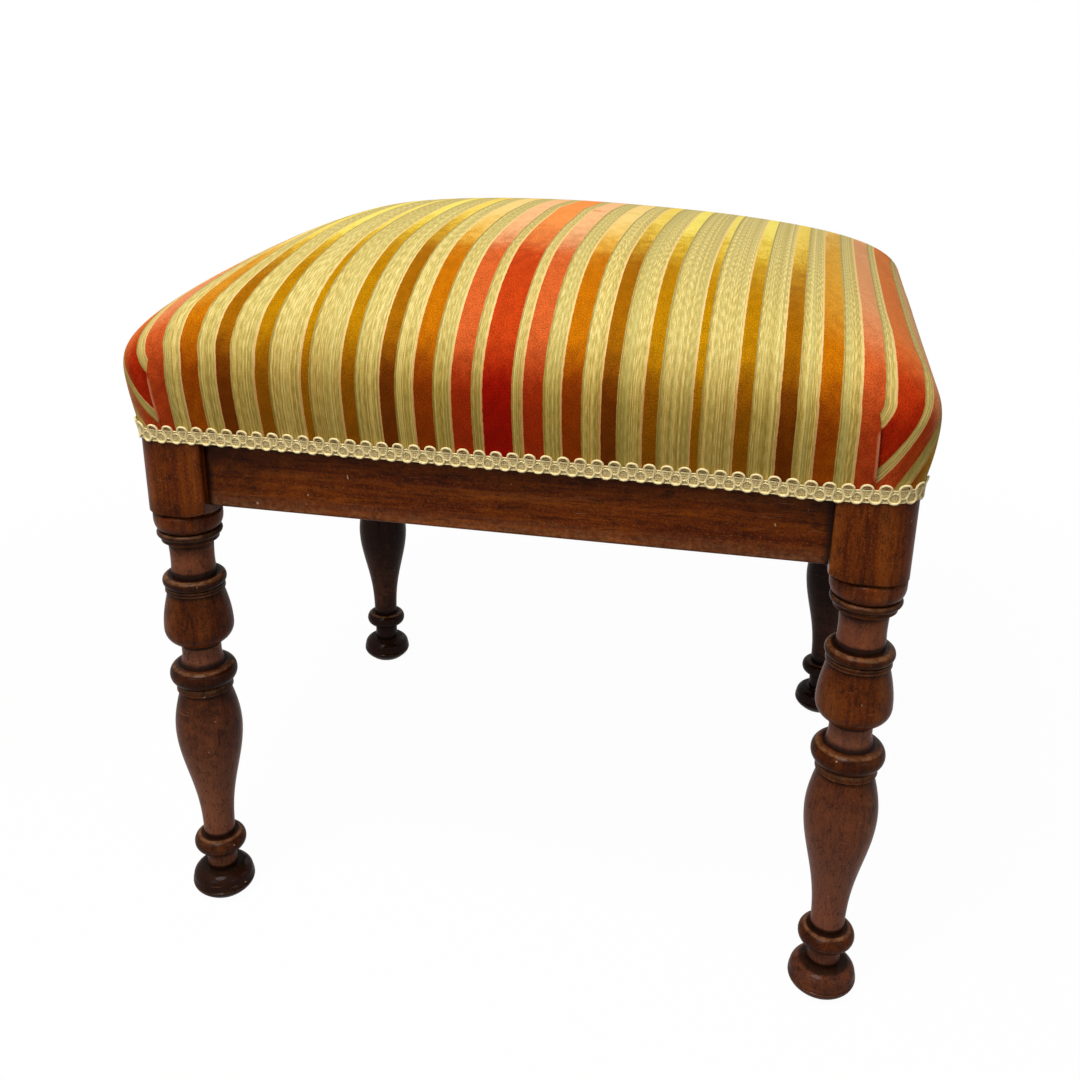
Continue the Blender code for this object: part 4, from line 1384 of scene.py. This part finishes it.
def drift(flat, z):
    """How far the stripes wander from true: the cover was not laid quite straight."""
    x, y = flat[:, 0], flat[:, 1]
    back = eased((y + 0.20) / 0.30)
    left = eased((-x - 0.08) / 0.09) * (1 - eased((y + 0.205) / 0.060))
    right = eased((x - 0.01) / 0.10) * eased((WIDEST_HEIGHT + 0.030 - z) / 0.060)
    shoulder = eased((z - 0.404) / 0.015) * (1 - eased((z - 0.434) / 0.015)) * eased((-x - 0.12) / 0.07)
    middle = 1 - 0.8 * eased((x - 0.06) / 0.12)
    far_left = eased((y + 0.19) / 0.070) * eased((-x - 0.03) / 0.12)
    far_back = eased((y + 0.17) / 0.12) * eased((-x - 0.145) / 0.065)
    crest = eased((y + 0.16) / 0.10) * eased((-x - 0.172) / 0.032)
    outwards = 0.0034 * left + 0.0020 * shoulder + 0.0021 * right
    inwards = 0.0042 * far_left + 0.0140 * far_back + 0.0090 * crest
    return -0.0005 - 0.0022 * back * middle + outwards - inwards


def seat_shape():
    """Points, cloth measures, fading with painted light, and the painted highlight of the folds, for every
    ring and column of the seat.
    """
    section = np.array([(inset, height) for _, _, height, inset in stations], dtype=float)
    path = np.append(0, np.cumsum(np.hypot(*np.diff(section, axis=0).T)))
    fold_ring = next(i for i, station in enumerate(stations) if station[2] > FOLD_TOP)
    points, cloth, fade_and_light, fold_highlight = [], [], [], []
    for ring in range(len(stations) - 1, -1, -1):
        edges, radii, height, _ = stations[ring]
        fold = float(eased((FOLD_TOP - height) / FOLD_RUN))
        flat, out, lift, beyond, side, run = seat_ring(edges, radii, fold)
        if ring >= fold_ring:
            u = flat[:, 0] + np.sign(flat[:, 0]) * read_extra(extra_across, flat[:, 0], flat[:, 1])
            v = flat[:, 1] + np.sign(flat[:, 1]) * read_extra(extra_along, flat[:, 1], flat[:, 0])
            fold_u, fold_v, fold_run, fold_x = u, v, run, flat[:, 0]
        else:
            below = path[fold_ring] - path[ring]
            tuck = TUCK_AT_FOLD + (1 - TUCK_AT_FOLD) * eased(fold_run / TUCK_REACH)
            u = fold_u + np.where(beyond > 0.5, side * tuck * below, HANGS * (flat[:, 0] - fold_x))
            v = fold_v + np.sign(fold_v) * np.where(beyond > 0.5, 1 - tuck, 1.0) * below
        z = height + crown_at(flat)
        free = float(eased((height - FOLD_FREE_FROM) / FOLD_FREE_OVER))
        lift = lift * (FOLD_UNDER_BRAID + (1 - FOLD_UNDER_BRAID) * free)
        flat = flat + out * lift[:, None]
        lean = np.where(flat[:, 0] > 0, LEAN_RIGHT, LEAN_LEFT) * eased((path[ring] - 0.012) / 0.085)
        flat[:, 0] += lean * flat[:, 1] * np.abs(flat[:, 0]) / FRAME_HALF_X
        points.append(np.column_stack([flat, z]))
        cloth.append(np.stack([u + drift(flat, z), v], -1))
        # fading with painted light from the wall to the top, painted a little darker towards the back as a
        # painted shade
        rise = eased((path[ring] - path[WALL_RINGS - 1] - FADE_AND_LIGHT_START) / FADE_AND_LIGHT_RISE)
        # the painted highlight along the folds
        fold_highlight.append(np.clip((lift - FOLD_HIGHLIGHT_FROM) / FOLD_HIGHLIGHT_OVER, 0, 1))
        fade_and_light.append(rise * (1 - 0.10 * eased((flat[:, 1] - 0.02) / 0.15)))
    return [np.array(part[::-1]) for part in (points, cloth, fade_and_light, fold_highlight)]


seat_points, seat_cloth, seat_fade_and_light, seat_fold_highlights = seat_shape()
seat_places = seat_points.reshape(-1, 3)
print("seat reaches:", seat_places.min(0).round(4), seat_places.max(0).round(4))

# %% [markdown]
# The stuffing presses the cover out. A coarse copy of the cover, tacked at the hem, is filled: Blender's
# cloth with pressure and no gravity. It is filled twice. The first filling shows how far each place
# moves, and the second starts from a cover cut smaller by as much, so that the full seat has the size
# seen in the picture. Where its points end up moves the fine rings.

# %% Filled cover
MOST_MOVED = 0.008
FILL_FRAMES = 20


def pressed_out(start):
    """Where the points of a coarse cover go when it is filled: its first ring is tacked down."""
    rows, columns = start.shape[:2]
    faces = grid_faces(rows, columns).tolist()
    mesh = bpy.data.meshes.new("filled cover")
    mesh.from_pydata(start.reshape(-1, 3).tolist(), [], faces)
    cover = bpy.data.objects.new("filled cover", mesh)
    bpy.context.scene.collection.objects.link(cover)
    tacks = cover.vertex_groups.new(name="tacks")
    tacks.add(list(range(2 * columns)), 1.0, "REPLACE")
    cloth = cover.modifiers.new("cloth", "CLOTH")
    cloth.settings.vertex_group_mass = "tacks"
    cloth.settings.use_pressure = True
    cloth.settings.uniform_pressure_force = 4.0
    cloth.settings.effector_weights.gravity = 0.0
    cloth.settings.quality = 6
    cloth.settings.tension_stiffness = 160.0
    cloth.settings.compression_stiffness = 160.0
    cloth.settings.shear_stiffness = 80.0
    cloth.settings.bending_stiffness = 12.0
    cloth.point_cache.frame_end = FILL_FRAMES
    for frame_number in range(1, FILL_FRAMES + 1):
        bpy.context.scene.frame_set(frame_number)
    shown = cover.evaluated_get(bpy.context.evaluated_depsgraph_get())
    places = np.array([vert.co for vert in shown.data.vertices])
    bpy.context.scene.frame_set(1)
    bpy.data.objects.remove(cover)
    bpy.data.meshes.remove(mesh)
    return places.reshape(start.shape)


def capped(moved):
    far = np.linalg.norm(moved, axis=2, keepdims=True)
    return moved * np.minimum(1, MOST_MOVED / np.maximum(far, 1e-9))


def filled(points):
    lifts = seat_ring(WIDEST, SEAT_RADII, 1.0)[2]
    columns = np.flatnonzero(lifts == 0)[::3]
    rows = np.append(np.arange(0, len(points) - 1, 3), len(points) - 1)
    coarse = points[np.ix_(rows, columns)]
    first = capped(pressed_out(coarse) - coarse)
    start = coarse - first
    moved = capped(pressed_out(start) - start)
    change = start + moved - coarse
    for label, shift in (("filling moves the cover", moved), ("off the drawn form", change)):
        print(label, "by up to", round(float(np.linalg.norm(shift, axis=2).max()), 4))
    every_row = np.arange(len(points))
    every_column = np.arange(points.shape[1])
    wide = np.stack([
        [np.interp(every_column, columns, row, period=points.shape[1]) for row in change[..., axis]]
        for axis in range(3)
    ], -1)
    fine = np.stack([
        [np.interp(every_row, rows, column) for column in wide[..., axis].T]
        for axis in range(3)
    ], -1)
    return points + fine.transpose(1, 0, 2)


seat_points = filled(seat_points)

# %% [markdown]
# The form is closed below: the skirt turns in at the hem, goes up inside against the frame, and crosses over
# the webbing. An open shell would do for a picture, but a closed one has a clear inside. The points also get
# the fading, which also paints the top lighter and the ends of the walls with a painted sheen, the painted
# highlight along the folds, and, at the left and right ends, values that lessen the painted sheen on the top
# and add a weaker one lower down.

# %% Seat piece
SEAT_UNDERSIDE = 0.3850
LINING_TOP = 0.3803
LINING_IN = 0.0012
# painted sheen on the walls at the left and right ends
EDGE_PAINTED_SHEEN = 0.30
# how much painted sheen is held back, and how much is added, at the left and right ends
PAINTED_SHEEN_CUT = 0.12
PAINTED_SHEEN_LEFT, PAINTED_SHEEN_RIGHT = 0.75, 0.95


def seat_piece():
    rings = len(seat_points)
    skin = seat_points.reshape(-1, 3)
    middle = np.array([[0.0, 0.0, seat_points[-1][:, 2].mean()]])

    def inner(out, height):
        flat = seat_ring(frame_edges(out), np.full(4, BLOCK_OUTER_RADIUS + out), 0.0)[0]
        return np.column_stack([flat, np.full(COLUMNS, height)])

    lining = np.concatenate([
        inner(-LINING_IN - 0.0002, SEAT_UNDERSIDE),
        inner(-LINING_IN, LINING_TOP),
        inner(-LINING_IN, HEM_HEIGHT),
    ])
    below = np.array([[0.0, 0.0, SEAT_UNDERSIDE]])
    points = np.concatenate([below, lining, skin, middle])
    first = 1
    rows = 3 + rings
    faces = (grid_faces(rows, COLUMNS) + first).tolist()
    last = first + (rows - 1) * COLUMNS
    top = len(points) - 1
    for i in range(COLUMNS):
        j = (i + 1) % COLUMNS
        faces += [(last + i, last + j, top), (first + j, first + i, 0)]
    seat = make_piece("stuffed_seat", points, faces, seat_velvet)
    hem = seat_cloth[0]
    cloth = np.concatenate([[[0, 0]], hem, hem, hem, seat_cloth.reshape(-1, 2), [[0, 0]]])
    lay_uv(seat, "cloth", cloth)
    hidden = np.zeros(3 * COLUMNS + 1)
    # the walls painted lighter at the left and right ends, a painted sheen
    sheen_at_ends = EDGE_PAINTED_SHEEN * eased((np.abs(seat_points[..., 0]) - 0.160) / 0.030)
    fade_and_light = seat_fade_and_light + sheen_at_ends * (1 - seat_fade_and_light)
    # the fading value, with painted light on the top and painted sheen at the ends
    paint(seat, "top", np.concatenate([hidden, fade_and_light.ravel(), [1]]))
    # the painted highlight along the folds
    paint(seat, "fold", np.concatenate([hidden, seat_fold_highlights.ravel(), [0]]))
    # painted sheen by place at the left and right ends
    on_right = eased((points[:, 0] - 0.150) / 0.040)
    on_left = eased((-points[:, 0] - 0.155) / 0.040)
    paint(seat, "brushed", -PAINTED_SHEEN_CUT * (on_left + on_right))
    paint(seat, "nap", PAINTED_SHEEN_LEFT * on_left + PAINTED_SHEEN_RIGHT * on_right)
    return seat


seat = seat_piece()
dress(seat, "velvet", "seat_cover", "wadding", "stuffing_pad")

# %% [markdown]
# ## Gimp braid
# A cream gimp braid is glued over the tacks along the hem. A cord loops up and down like a row of linked
# rings, with a thinner wave inside it and another that closes the rings below. Behind them lies a ribbed
# tape: lines of yarn side by side, a selvedge at each edge and short upright bars. Both yarns are the same
# finish in two shades: fine strands from stretched noise, with some soil.

# %% Braid finishes


def yarn(name, pale, shade, gloss):
    made, bench = new_finish(name)
    place = object_place(bench)
    strand = bench.noise(bench.stretch(place, (1900.0, 1900.0, 900.0)), 1.0, 2.0, 0.6)
    soil = bench.noise(place, 70.0, 3.0, 0.6)
    colour = bench.mix(bench.band(strand, 0.35, 0.65), shade, pale)
    colour = bench.mix(bench.band(soil, 0.52, 0.75) * 0.35, colour, shade)
    normal = bench.bump(strand, 0.0003, 0.6)
    shader = bench.node("ShaderNodeBsdfPrincipled", None, {
        "Base Color": colour, "Normal": normal, "Roughness": 0.72 - strand * 0.15,
        "Sheen Weight": gloss, "Sheen Roughness": 0.4, "Specular IOR Level": 0.35,
    })
    surface(bench, shader)
    return made


cream_yarn = yarn("cream gimp", srgb(255, 244, 190), srgb(240, 216, 154), 0.25)
tape_yarn = yarn("ribbed tape", srgb(230, 208, 152), srgb(190, 166, 110), 0.15)
print("braid yarns ready")

# %% [markdown]
# All the cords follow the same path round the seat, so Geometry Nodes make them: each point of the path
# knows how far along it is, and the tree moves it along, up and out by waves of that length, then gives
# the line a round section. One loop could be modelled and repeated with an Array instead, but then its
# ends would have to meet the next loop's round every corner.

# %% Braid tree


def add_socket(tree, name, kind, value=None, way="INPUT"):
    made = tree.interface.new_socket(name=name, in_out=way, socket_type=kind)
    if value is not None:
        made.default_value = value
    return made.identifier


def looping_cord_tree():
    """A cord that follows a closed path in waves: so many loops, so wide, so high, so far out."""
    tree = bpy.data.node_groups.new("looping cord", "GeometryNodeTree")
    names = {}
    add_socket(tree, "Path", "NodeSocketGeometry")
    for name in ("Loops", "Steps", "Sides"):
        names[name] = add_socket(tree, name, "NodeSocketInt", 1)
    for name in ("Swing", "Height", "Lift", "Out", "Lean", "Ripple", "Start", "Thickness"):
        names[name] = add_socket(tree, name, "NodeSocketFloat", 0.0)
    names["Finish"] = add_socket(tree, "Finish", "NodeSocketMaterial")
    add_socket(tree, "Cord", "NodeSocketGeometry", way="OUTPUT")
    bench = Bench(tree)
    given = bench.node("NodeGroupInput")
    line = bench.node("GeometryNodeResampleCurve", {"mode": "COUNT"}, {
        "Curve": given.other("Path"), "Count": given.other("Loops") * given.other("Steps"),
    })
    share = bench.node("GeometryNodeSplineParameter")
    turn = share * given.other("Loops") * (2 * math.pi) + given.other("Start")
    tangent = bench.node("GeometryNodeInputTangent")
    out = bench.node("ShaderNodeVectorMath", {"operation": "CROSS_PRODUCT"}, [tangent, (0, 0, 1)])

    def scaled(way, amount):
        return bench.node("ShaderNodeVectorMath", {"operation": "SCALE"}, {"Vector": way, "Scale": amount})

    def summed(first, second):
        return bench.node("ShaderNodeVectorMath", {"operation": "ADD"}, [first, second])

    sideways = scaled(tangent, (turn * 2.0).math("SINE") * given.other("Swing"))
    rise = given.other("Lift") - turn.math("COSINE") * given.other("Height")
    upward = bench.node("ShaderNodeCombineXYZ", None, {"Z": rise})
    tilt = given.other("Out") + rise * given.other("Lean")
    outward = scaled(out, tilt + (turn * 2.0 + 0.9).math("SINE") * given.other("Ripple"))
    moved = bench.node("GeometryNodeSetPosition", None, {
        "Geometry": line, "Offset": summed(summed(sideways, upward), outward),
    })
    section = bench.node("GeometryNodeCurvePrimitiveCircle", {"mode": "RADIUS"}, {
        "Resolution": given.other("Sides"), "Radius": given.other("Thickness"),
    })
    cord = bench.node("GeometryNodeCurveToMesh", None, {
        "Curve": moved, "Profile Curve": section, "Fill Caps": False,
    })
    smooth = bench.node("GeometryNodeSetShadeSmooth", None, {"Geometry": cord})
    real = bench.node("GeometryNodeRealizeInstances", None, {"Geometry": smooth})
    finished = bench.node("GeometryNodeSetMaterial", None, {
        "Geometry": real, "Material": given.other("Finish"),
    })
    bench.node("NodeGroupOutput", None, {0: finished})
    return tree, names


cord_tree, cord_inputs = looping_cord_tree()
print("inputs of the cord tree:", len(cord_inputs))

# %% [markdown]
# The braid wasn't glued quite straight. Each dip of its path has a depth, a place from left to right and a
# width: the deeper one is by the right legs and the other by the left ones.

# %% Braid path
BRAID_MIDDLE = 0.3589
BRAID_OUT = 0.0001
BRAID_DIPS = ((0.0019, 0.187, 0.035), (0.0009, -0.215, 0.025))
BRAID_RAISED = 0.0003
SHORTEST_STEP = 1e-5


def braid_dip(x):
    """How far the braid was glued below its line."""
    dips = [deep * math.exp(-((x - at) / wide) ** 2) for deep, at, wide in BRAID_DIPS]
    return sum(dips) - BRAID_RAISED


def braid_path():
    """The line along the middle of the braid as a closed curve, anticlockwise."""
    edges, radii = wall_outline(BRAID_MIDDLE)
    flat = seat_ring(edges + BRAID_OUT * OUTWARD, radii + BRAID_OUT, 0.0)[0]
    step = np.hypot(*(np.roll(flat, -1, 0) - flat).T)
    flat = flat[step > SHORTEST_STEP]
    curve = bpy.data.curves.new("braid path", "CURVE")
    curve.dimensions = "3D"
    spline = curve.splines.new("POLY")
    spline.points.add(len(flat) - 1)
    for point, (x, y) in zip(spline.points, flat):
        point.co = (x, y, BRAID_MIDDLE - braid_dip(x), 1.0)
    spline.use_cyclic_u = True
    return curve, float(np.hypot(*(np.roll(flat, -1, 0) - flat).T).sum())


path, path_length = braid_path()
print("braid path:", round(path_length, 3))

# %% [markdown]
# Each cord is now a set of sizes for the tree: the number of loops and of steps in a loop, how far it
# swings along, how high it waves, where it lies and how thick it is. What most cords share is written
# once, as a plain cord, and each of the others says only what is different.

# %% Braid cords
LOOP_PITCH = 0.0099
LOOPS = round(path_length / LOOP_PITCH)
BRAID_START = -1.66
PLAIN_CORD = {
    "Loops": LOOPS, "Sides": 6, "Swing": 0.0, "Height": 0.0, "Lift": 0.0, "Lean": 0.15, "Ripple": 0.0,
    "Start": BRAID_START,
}
LOOPING_CORD = {
    "Steps": 28, "Sides": 7, "Swing": 0.0017, "Height": 0.0056, "Out": 0.0011, "Ripple": 0.0003,
    "Thickness": 0.00070, "Finish": cream_yarn,
}
INNER_WAVE = {
    "Steps": 20, "Swing": 0.0010, "Height": 0.0034, "Lift": 0.0002, "Out": 0.0004,
    "Thickness": 0.00036, "Finish": tape_yarn,
}
CLOSING_WAVE = {
    "Steps": 14, "Height": 0.0018, "Lift": -0.0010, "Out": 0.0009, "Start": BRAID_START + math.pi,
    "Thickness": 0.00042, "Finish": cream_yarn,
}
TAPE_LINE = {"Steps": 4, "Sides": 5, "Out": 0.0001, "Thickness": 0.0008, "Finish": tape_yarn}
TAPE_LIFTS = (-0.0048, -0.0035, -0.0022, -0.0009, 0.0004, 0.0015)
SELVEDGE = {"Steps": 4, "Out": 0.0007, "Thickness": 0.00042, "Finish": cream_yarn}
SELVEDGE_LIFTS = (-0.0051, 0.0022)
UPRIGHT_BARS = {
    "Loops": 4 * LOOPS, "Steps": 8, "Sides": 5, "Swing": 0.00038, "Height": 0.0032, "Lift": -0.0015,
    "Out": 0.0003, "Thickness": 0.00040, "Finish": cream_yarn,
}
print("loops round the seat:", LOOPS)

# %% [markdown]
# The tree is run once for each cord, and the results are joined into two plain meshes, the loops and the
# tape behind them. The modifiers could be left live, but plain meshes are what the finished stool is made
# of, and they keep their shape wherever they are opened.

# %% Braid pieces


def cord_mesh(name, values):
    """Runs the tree on the path and returns its result as a plain mesh."""
    holder = bpy.data.objects.new(name, path)
    bpy.context.scene.collection.objects.link(holder)
    step = holder.modifiers.new("cord", "NODES")
    step.node_group = cord_tree
    for key, value in {**PLAIN_CORD, **values}.items():
        step[cord_inputs[key]] = value
    graph = bpy.context.evaluated_depsgraph_get()
    mesh = bpy.data.meshes.new_from_object(holder.evaluated_get(graph))
    bpy.data.objects.remove(holder, do_unlink=True)
    return mesh


def braid_piece(name, cords):
    """One mesh of several cords, each with its own finish."""
    work = bmesh.new()
    finishes = []
    for values in cords:
        mesh = cord_mesh(name, values)
        start = len(work.faces)
        work.from_mesh(mesh)
        work.faces.ensure_lookup_table()
        for face in work.faces[start:]:
            face.material_index = len(finishes)
        finishes.append(mesh.materials[0])
    joined = bpy.data.meshes.new(name)
    bmesh.ops.recalc_face_normals(work, faces=work.faces)
    work.to_mesh(joined)
    work.free()
    for finish in finishes:
        joined.materials.append(finish)
    joined.shade_smooth()
    made = bpy.data.objects.new(name, joined)
    bpy.context.scene.collection.objects.link(made)
    return made


tapes = [{**TAPE_LINE, "Lift": lift} for lift in TAPE_LIFTS]
tapes += [{**SELVEDGE, "Lift": lift} for lift in SELVEDGE_LIFTS]
loops = braid_piece("braid_loops", [LOOPING_CORD, INNER_WAVE, CLOSING_WAVE])
tape = braid_piece("braid_tape", tapes + [UPRIGHT_BARS])
dress(loops, "braid", "gimp_braid")
dress(tape, "braid", "gimp_braid")

# %% [markdown]
# ## Webbing
# Under the seat seven jute straps are woven over and under each other and tacked to the tops of the rails
# with their ends folded over. The jute is a coarse weave with two dark lines near its edges, read from a
# UV map along the strap. The hessian above it is a finer weave of the same kind, so one function makes
# both: a checker tells which thread lies on top.

# %% Jute and hessian finishes
LINE_AT = 0.019


def woven(name, pale, shade, threads, line=None):
    made, bench = new_finish(name)
    cloth = bench.node("ShaderNodeUVMap", {"uv_map": "cloth"})
    across = bench.node("ShaderNodeSeparateXYZ", None, [cloth])
    along = across.other("Y")
    uneven = bench.noise(bench.stretch(cloth, (threads * 0.5, threads * 0.06, 1.0)), 1.0, 2.0)
    cross = bench.noise(bench.stretch(cloth, (threads * 0.06, threads * 0.5, 1.0)), 1.0, 2.0)
    warp = ((across * threads + (uneven - 0.5) * 0.7) * math.pi).math("SINE").math("ABSOLUTE")
    weft = ((along * threads + (cross - 0.5) * 0.7) * math.pi).math("SINE").math("ABSOLUTE")
    over = bench.node("ShaderNodeTexChecker", None, {"Vector": cloth, "Scale": threads}, 1)
    height = warp * over + weft * (1 - over)
    hair = bench.noise(bench.stretch(cloth, (2400.0, 700.0, 1.0)), 1.0, 3.0, 0.7)
    colour = bench.mix(bench.band(height * 0.7 + hair * 0.5, 0.3, 0.95), shade, pale)
    if line is not None:
        near = (across.math("ABSOLUTE") - LINE_AT).math("ABSOLUTE")
        colour = bench.mix((1 - bench.band(near, 0.0012, 0.0018)) * 0.8, colour, line)
    normal = bench.bump(height + hair * 0.35, 0.0005, 0.8)
    shader = bench.node("ShaderNodeBsdfPrincipled", None, {
        "Base Color": colour, "Normal": normal, "Roughness": 0.95 - height * 0.15,
        "Specular IOR Level": 0.2,
    })
    surface(bench, shader)
    return made


jute = woven("jute webbing", srgb(190, 154, 104), srgb(104, 74, 42), 700.0, srgb(70, 44, 36))
hessian_cloth = woven("hessian", srgb(184, 150, 100), srgb(88, 64, 38), 560.0)
print("jute and hessian ready")

# %% [markdown]
# Each strap is drawn directly along its path, with a rounded section. Blender's cloth could drape the
# straps over each other, but they are stretched tight, so the path is known: level between crossings, a
# little up or down at each of them, and folded back at the ends.

# %% Strap line
STRAP_LEVEL = 0.38105
STRAP_LIFT = 0.0009
STRAP_CLEAR = 0.030
FOLD_BACK = 0.020
BEND = 0.0009


def strap_line(end, crossings, first_over):
    """Distance along and height of a strap's middle, from one folded end to the other."""
    along = np.linspace(-end + BEND, end - BEND, 160)
    knots_at, knots = [-end + BEND], [STRAP_LEVEL]
    for i, crossing in enumerate(crossings):
        level = STRAP_LEVEL + (STRAP_LIFT if (i % 2 == 0) == first_over else -STRAP_LIFT)
        knots_at += [crossing - STRAP_CLEAR, crossing + STRAP_CLEAR]
        knots += [level, level]
    knots_at.append(end - BEND)
    knots.append(STRAP_LEVEL)
    knots_at, knots = np.array(knots_at), np.array(knots)
    place = np.searchsorted(knots_at, along, side="right").clip(1, len(knots) - 1)
    share = eased((along - knots_at[place - 1]) / (knots_at[place] - knots_at[place - 1]))
    height = knots[place - 1] + (knots[place] - knots[place - 1]) * share
    turn = np.linspace(0, np.pi, 9)[1:]
    bend_x, bend_z = BEND * np.sin(turn), BEND * (1 - np.cos(turn))
    right = np.stack([end - BEND + bend_x, STRAP_LEVEL + bend_z], -1)
    tail_x = np.linspace(end - BEND, end - FOLD_BACK, 6)[1:]
    tail = np.stack([tail_x, np.full(len(tail_x), STRAP_LEVEL + 2 * BEND)], -1)
    right = np.concatenate([right, tail])
    left = right[::-1] * np.array([-1, 1])
    return np.concatenate([left, np.stack([along, height], -1), right])


print("strap level:", STRAP_LEVEL)

# %% [markdown]
# A flat round section is swept along that line. The UV map holds the measure across and along the strap,
# so the weave has its true size. Every other strap starts over instead of under, as weaving goes.

# %% Webbing straps
STRAP_WIDTH = 0.055
STRAP_HALF_THICK = 0.00070


def make_strap(name, end, crossings, first_over, offset, along_x):
    line = strap_line(end, crossings, first_over)
    way = np.gradient(line, axis=0)
    way /= np.linalg.norm(way, axis=1)[:, None]
    normal = np.stack([-way[:, 1], way[:, 0]], -1)
    turn = np.linspace(0, 2 * np.pi, 24, endpoint=False)
    wide = np.sign(np.cos(turn)) * np.abs(np.cos(turn)) ** 0.5 * STRAP_WIDTH / 2
    thick = np.sign(np.sin(turn)) * np.abs(np.sin(turn)) ** 0.35 * STRAP_HALF_THICK
    run = np.append(0, np.cumsum(np.hypot(*np.diff(line, axis=0).T)))
    along = line[:, 0, None] + normal[:, 0, None] * thick[None, :]
    z = line[:, 1, None] + normal[:, 1, None] * thick[None, :]
    beside = np.repeat(offset + wide[None, :], len(line), 0)
    points = np.stack([along, beside, z] if along_x else [-beside, along, z], -1).reshape(-1, 3)
    count, rows = len(turn), len(line)
    faces = grid_faces(rows, count).tolist()
    last = (rows - 1) * count
    faces += [list(range(count))[::-1], list(range(last, last + count))]
    strap = make_piece(name, points, faces, jute, 50)
    uv = np.stack([np.repeat(wide[None, :], rows, 0), np.repeat(run[:, None], count, 1)], -1)
    lay_uv(strap, "cloth", uv.reshape(-1, 2))
    return strap, float(run[-1])


def spread(length, count):
    return [length / count * (i - (count - 1) / 2) for i in range(count)]


across_x = spread(2 * LONG_HALF, 4)
across_y = spread(2 * SHORT_HALF, 3)
END_IN = RAIL_SETBACK - BAND_PROUD + 0.006
for i, y in enumerate(across_y):
    name = f"jute_strap_across_{i + 1}"
    strap, length = make_strap(name, FRAME_HALF_X - END_IN, across_x, i % 2 == 0, y, True)
    dress(strap, "jute", f"webbing_side_to_side_{i + 1}")
for i, x in enumerate(across_x):
    name = f"jute_strap_along_{i + 1}"
    strap, length = make_strap(name, FRAME_HALF_Y - END_IN, across_y, i % 2 == 1, -x, False)
    dress(strap, "jute", f"webbing_front_to_back_{i + 1}")

# %% [markdown]
# ## Hessian
# A piece of hessian lies over the webbing and keeps the stuffing up. It is a thin woven sheet, pulled flat
# and tacked along the rails, with its corners rounded like those of the frame. A plane with Solidify would
# do, but the grid gives the weave its measure directly.

# %% Hessian sheet
HESSIAN_LEVEL = 0.3843
HESSIAN_HALF = (0.2370, 0.2035)
HESSIAN_THICK = 0.0007


def make_hessian():
    x = np.linspace(-HESSIAN_HALF[0], HESSIAN_HALF[0], 120)
    y = np.linspace(-HESSIAN_HALF[1], HESSIAN_HALF[1], 104)
    grid_x, grid_y = np.meshgrid(x, y)
    reach = BLOCK_OUTER_RADIUS
    over_x = np.clip((np.abs(grid_x) - (HESSIAN_HALF[0] - reach)) / reach, 0, 1)
    over_y = np.clip((np.abs(grid_y) - (HESSIAN_HALF[1] - reach)) / reach, 0, 1)
    in_corner = (over_x > 0) & (over_y > 0)
    pull = np.where(in_corner, np.minimum(1, 1 / np.maximum(np.hypot(over_x, over_y), 1e-6)), 1.0)
    base_x = np.sign(grid_x) * (np.abs(grid_x) - over_x * reach * (1 - pull))
    base_y = np.sign(grid_y) * (np.abs(grid_y) - over_y * reach * (1 - pull))
    flat = np.stack([base_x, base_y], -1).reshape(-1, 2)
    top = np.column_stack([flat, np.full(len(flat), HESSIAN_LEVEL + HESSIAN_THICK / 2)])
    under = np.column_stack([flat, np.full(len(flat), HESSIAN_LEVEL - HESSIAN_THICK / 2)])
    rows, columns = grid_x.shape
    faces = grid_faces(rows, columns, False)
    shift = len(top)
    rim = list(range(columns))
    rim += [i * columns + columns - 1 for i in range(1, rows)]
    rim += [(rows - 1) * columns + i for i in range(columns - 2, -1, -1)]
    rim += [i * columns for i in range(rows - 2, 0, -1)]
    joined = faces.tolist() + (faces[:, ::-1] + shift).tolist()
    for i, start in enumerate(rim):
        end = rim[(i + 1) % len(rim)]
        joined.append((start + shift, end + shift, end, start))
    sheet = make_piece("hessian_sheet", np.concatenate([top, under]), joined, hessian_cloth, 60)
    lay_uv(sheet, "cloth", np.concatenate([flat, flat]))
    return sheet


hessian = make_hessian()
dress(hessian, "hessian", "hessian")

# %% [markdown]
# ## Corner blocks
# Three-cornered blocks of plain beech are glued behind each leg. Their solids already have the right
# shape, so they stay and only get a better finish: a pale, unpolished wood with growth lines, the short
# dark flecks of beech and old stains. They could be drawn again with rounder edges, but they are only seen
# from below.

# %% Plain beech


def beech():
    made, bench = new_finish("plain beech")
    place = object_place(bench)
    lines = bench.noise(bench.stretch(place, (40.0, 40.0, 420.0)), 1.0, 4.0, 0.6, 0.4)
    fleck = bench.noise(bench.stretch(place, (900.0, 900.0, 160.0)), 1.0, 2.0)
    stain = bench.noise(place, 28.0, 4.0, 0.6)
    colour = bench.mix(bench.band(lines, 0.35, 0.68), srgb(128, 88, 50), srgb(188, 144, 92))
    colour = bench.mix(bench.band(fleck, 0.60, 0.72) * 0.5, colour, srgb(98, 62, 32))
    colour = bench.mix(bench.band(stain, 0.52, 0.74) * 0.55, colour, srgb(84, 52, 28))
    normal = bench.bump(lines + fleck * 0.4, 0.0003, 0.6)
    shader = bench.node("ShaderNodeBsdfPrincipled", None, {
        "Base Color": colour, "Normal": normal, "Roughness": 0.62 + stain * 0.2,
    })
    surface(bench, shader)
    return made


plain_beech = beech()
for place, *_ in CORNERS:
    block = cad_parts[f"corner_block_{place}"]
    for slot in block.material_slots:
        slot.material = plain_beech
print("corner blocks finished:", len(CORNERS))
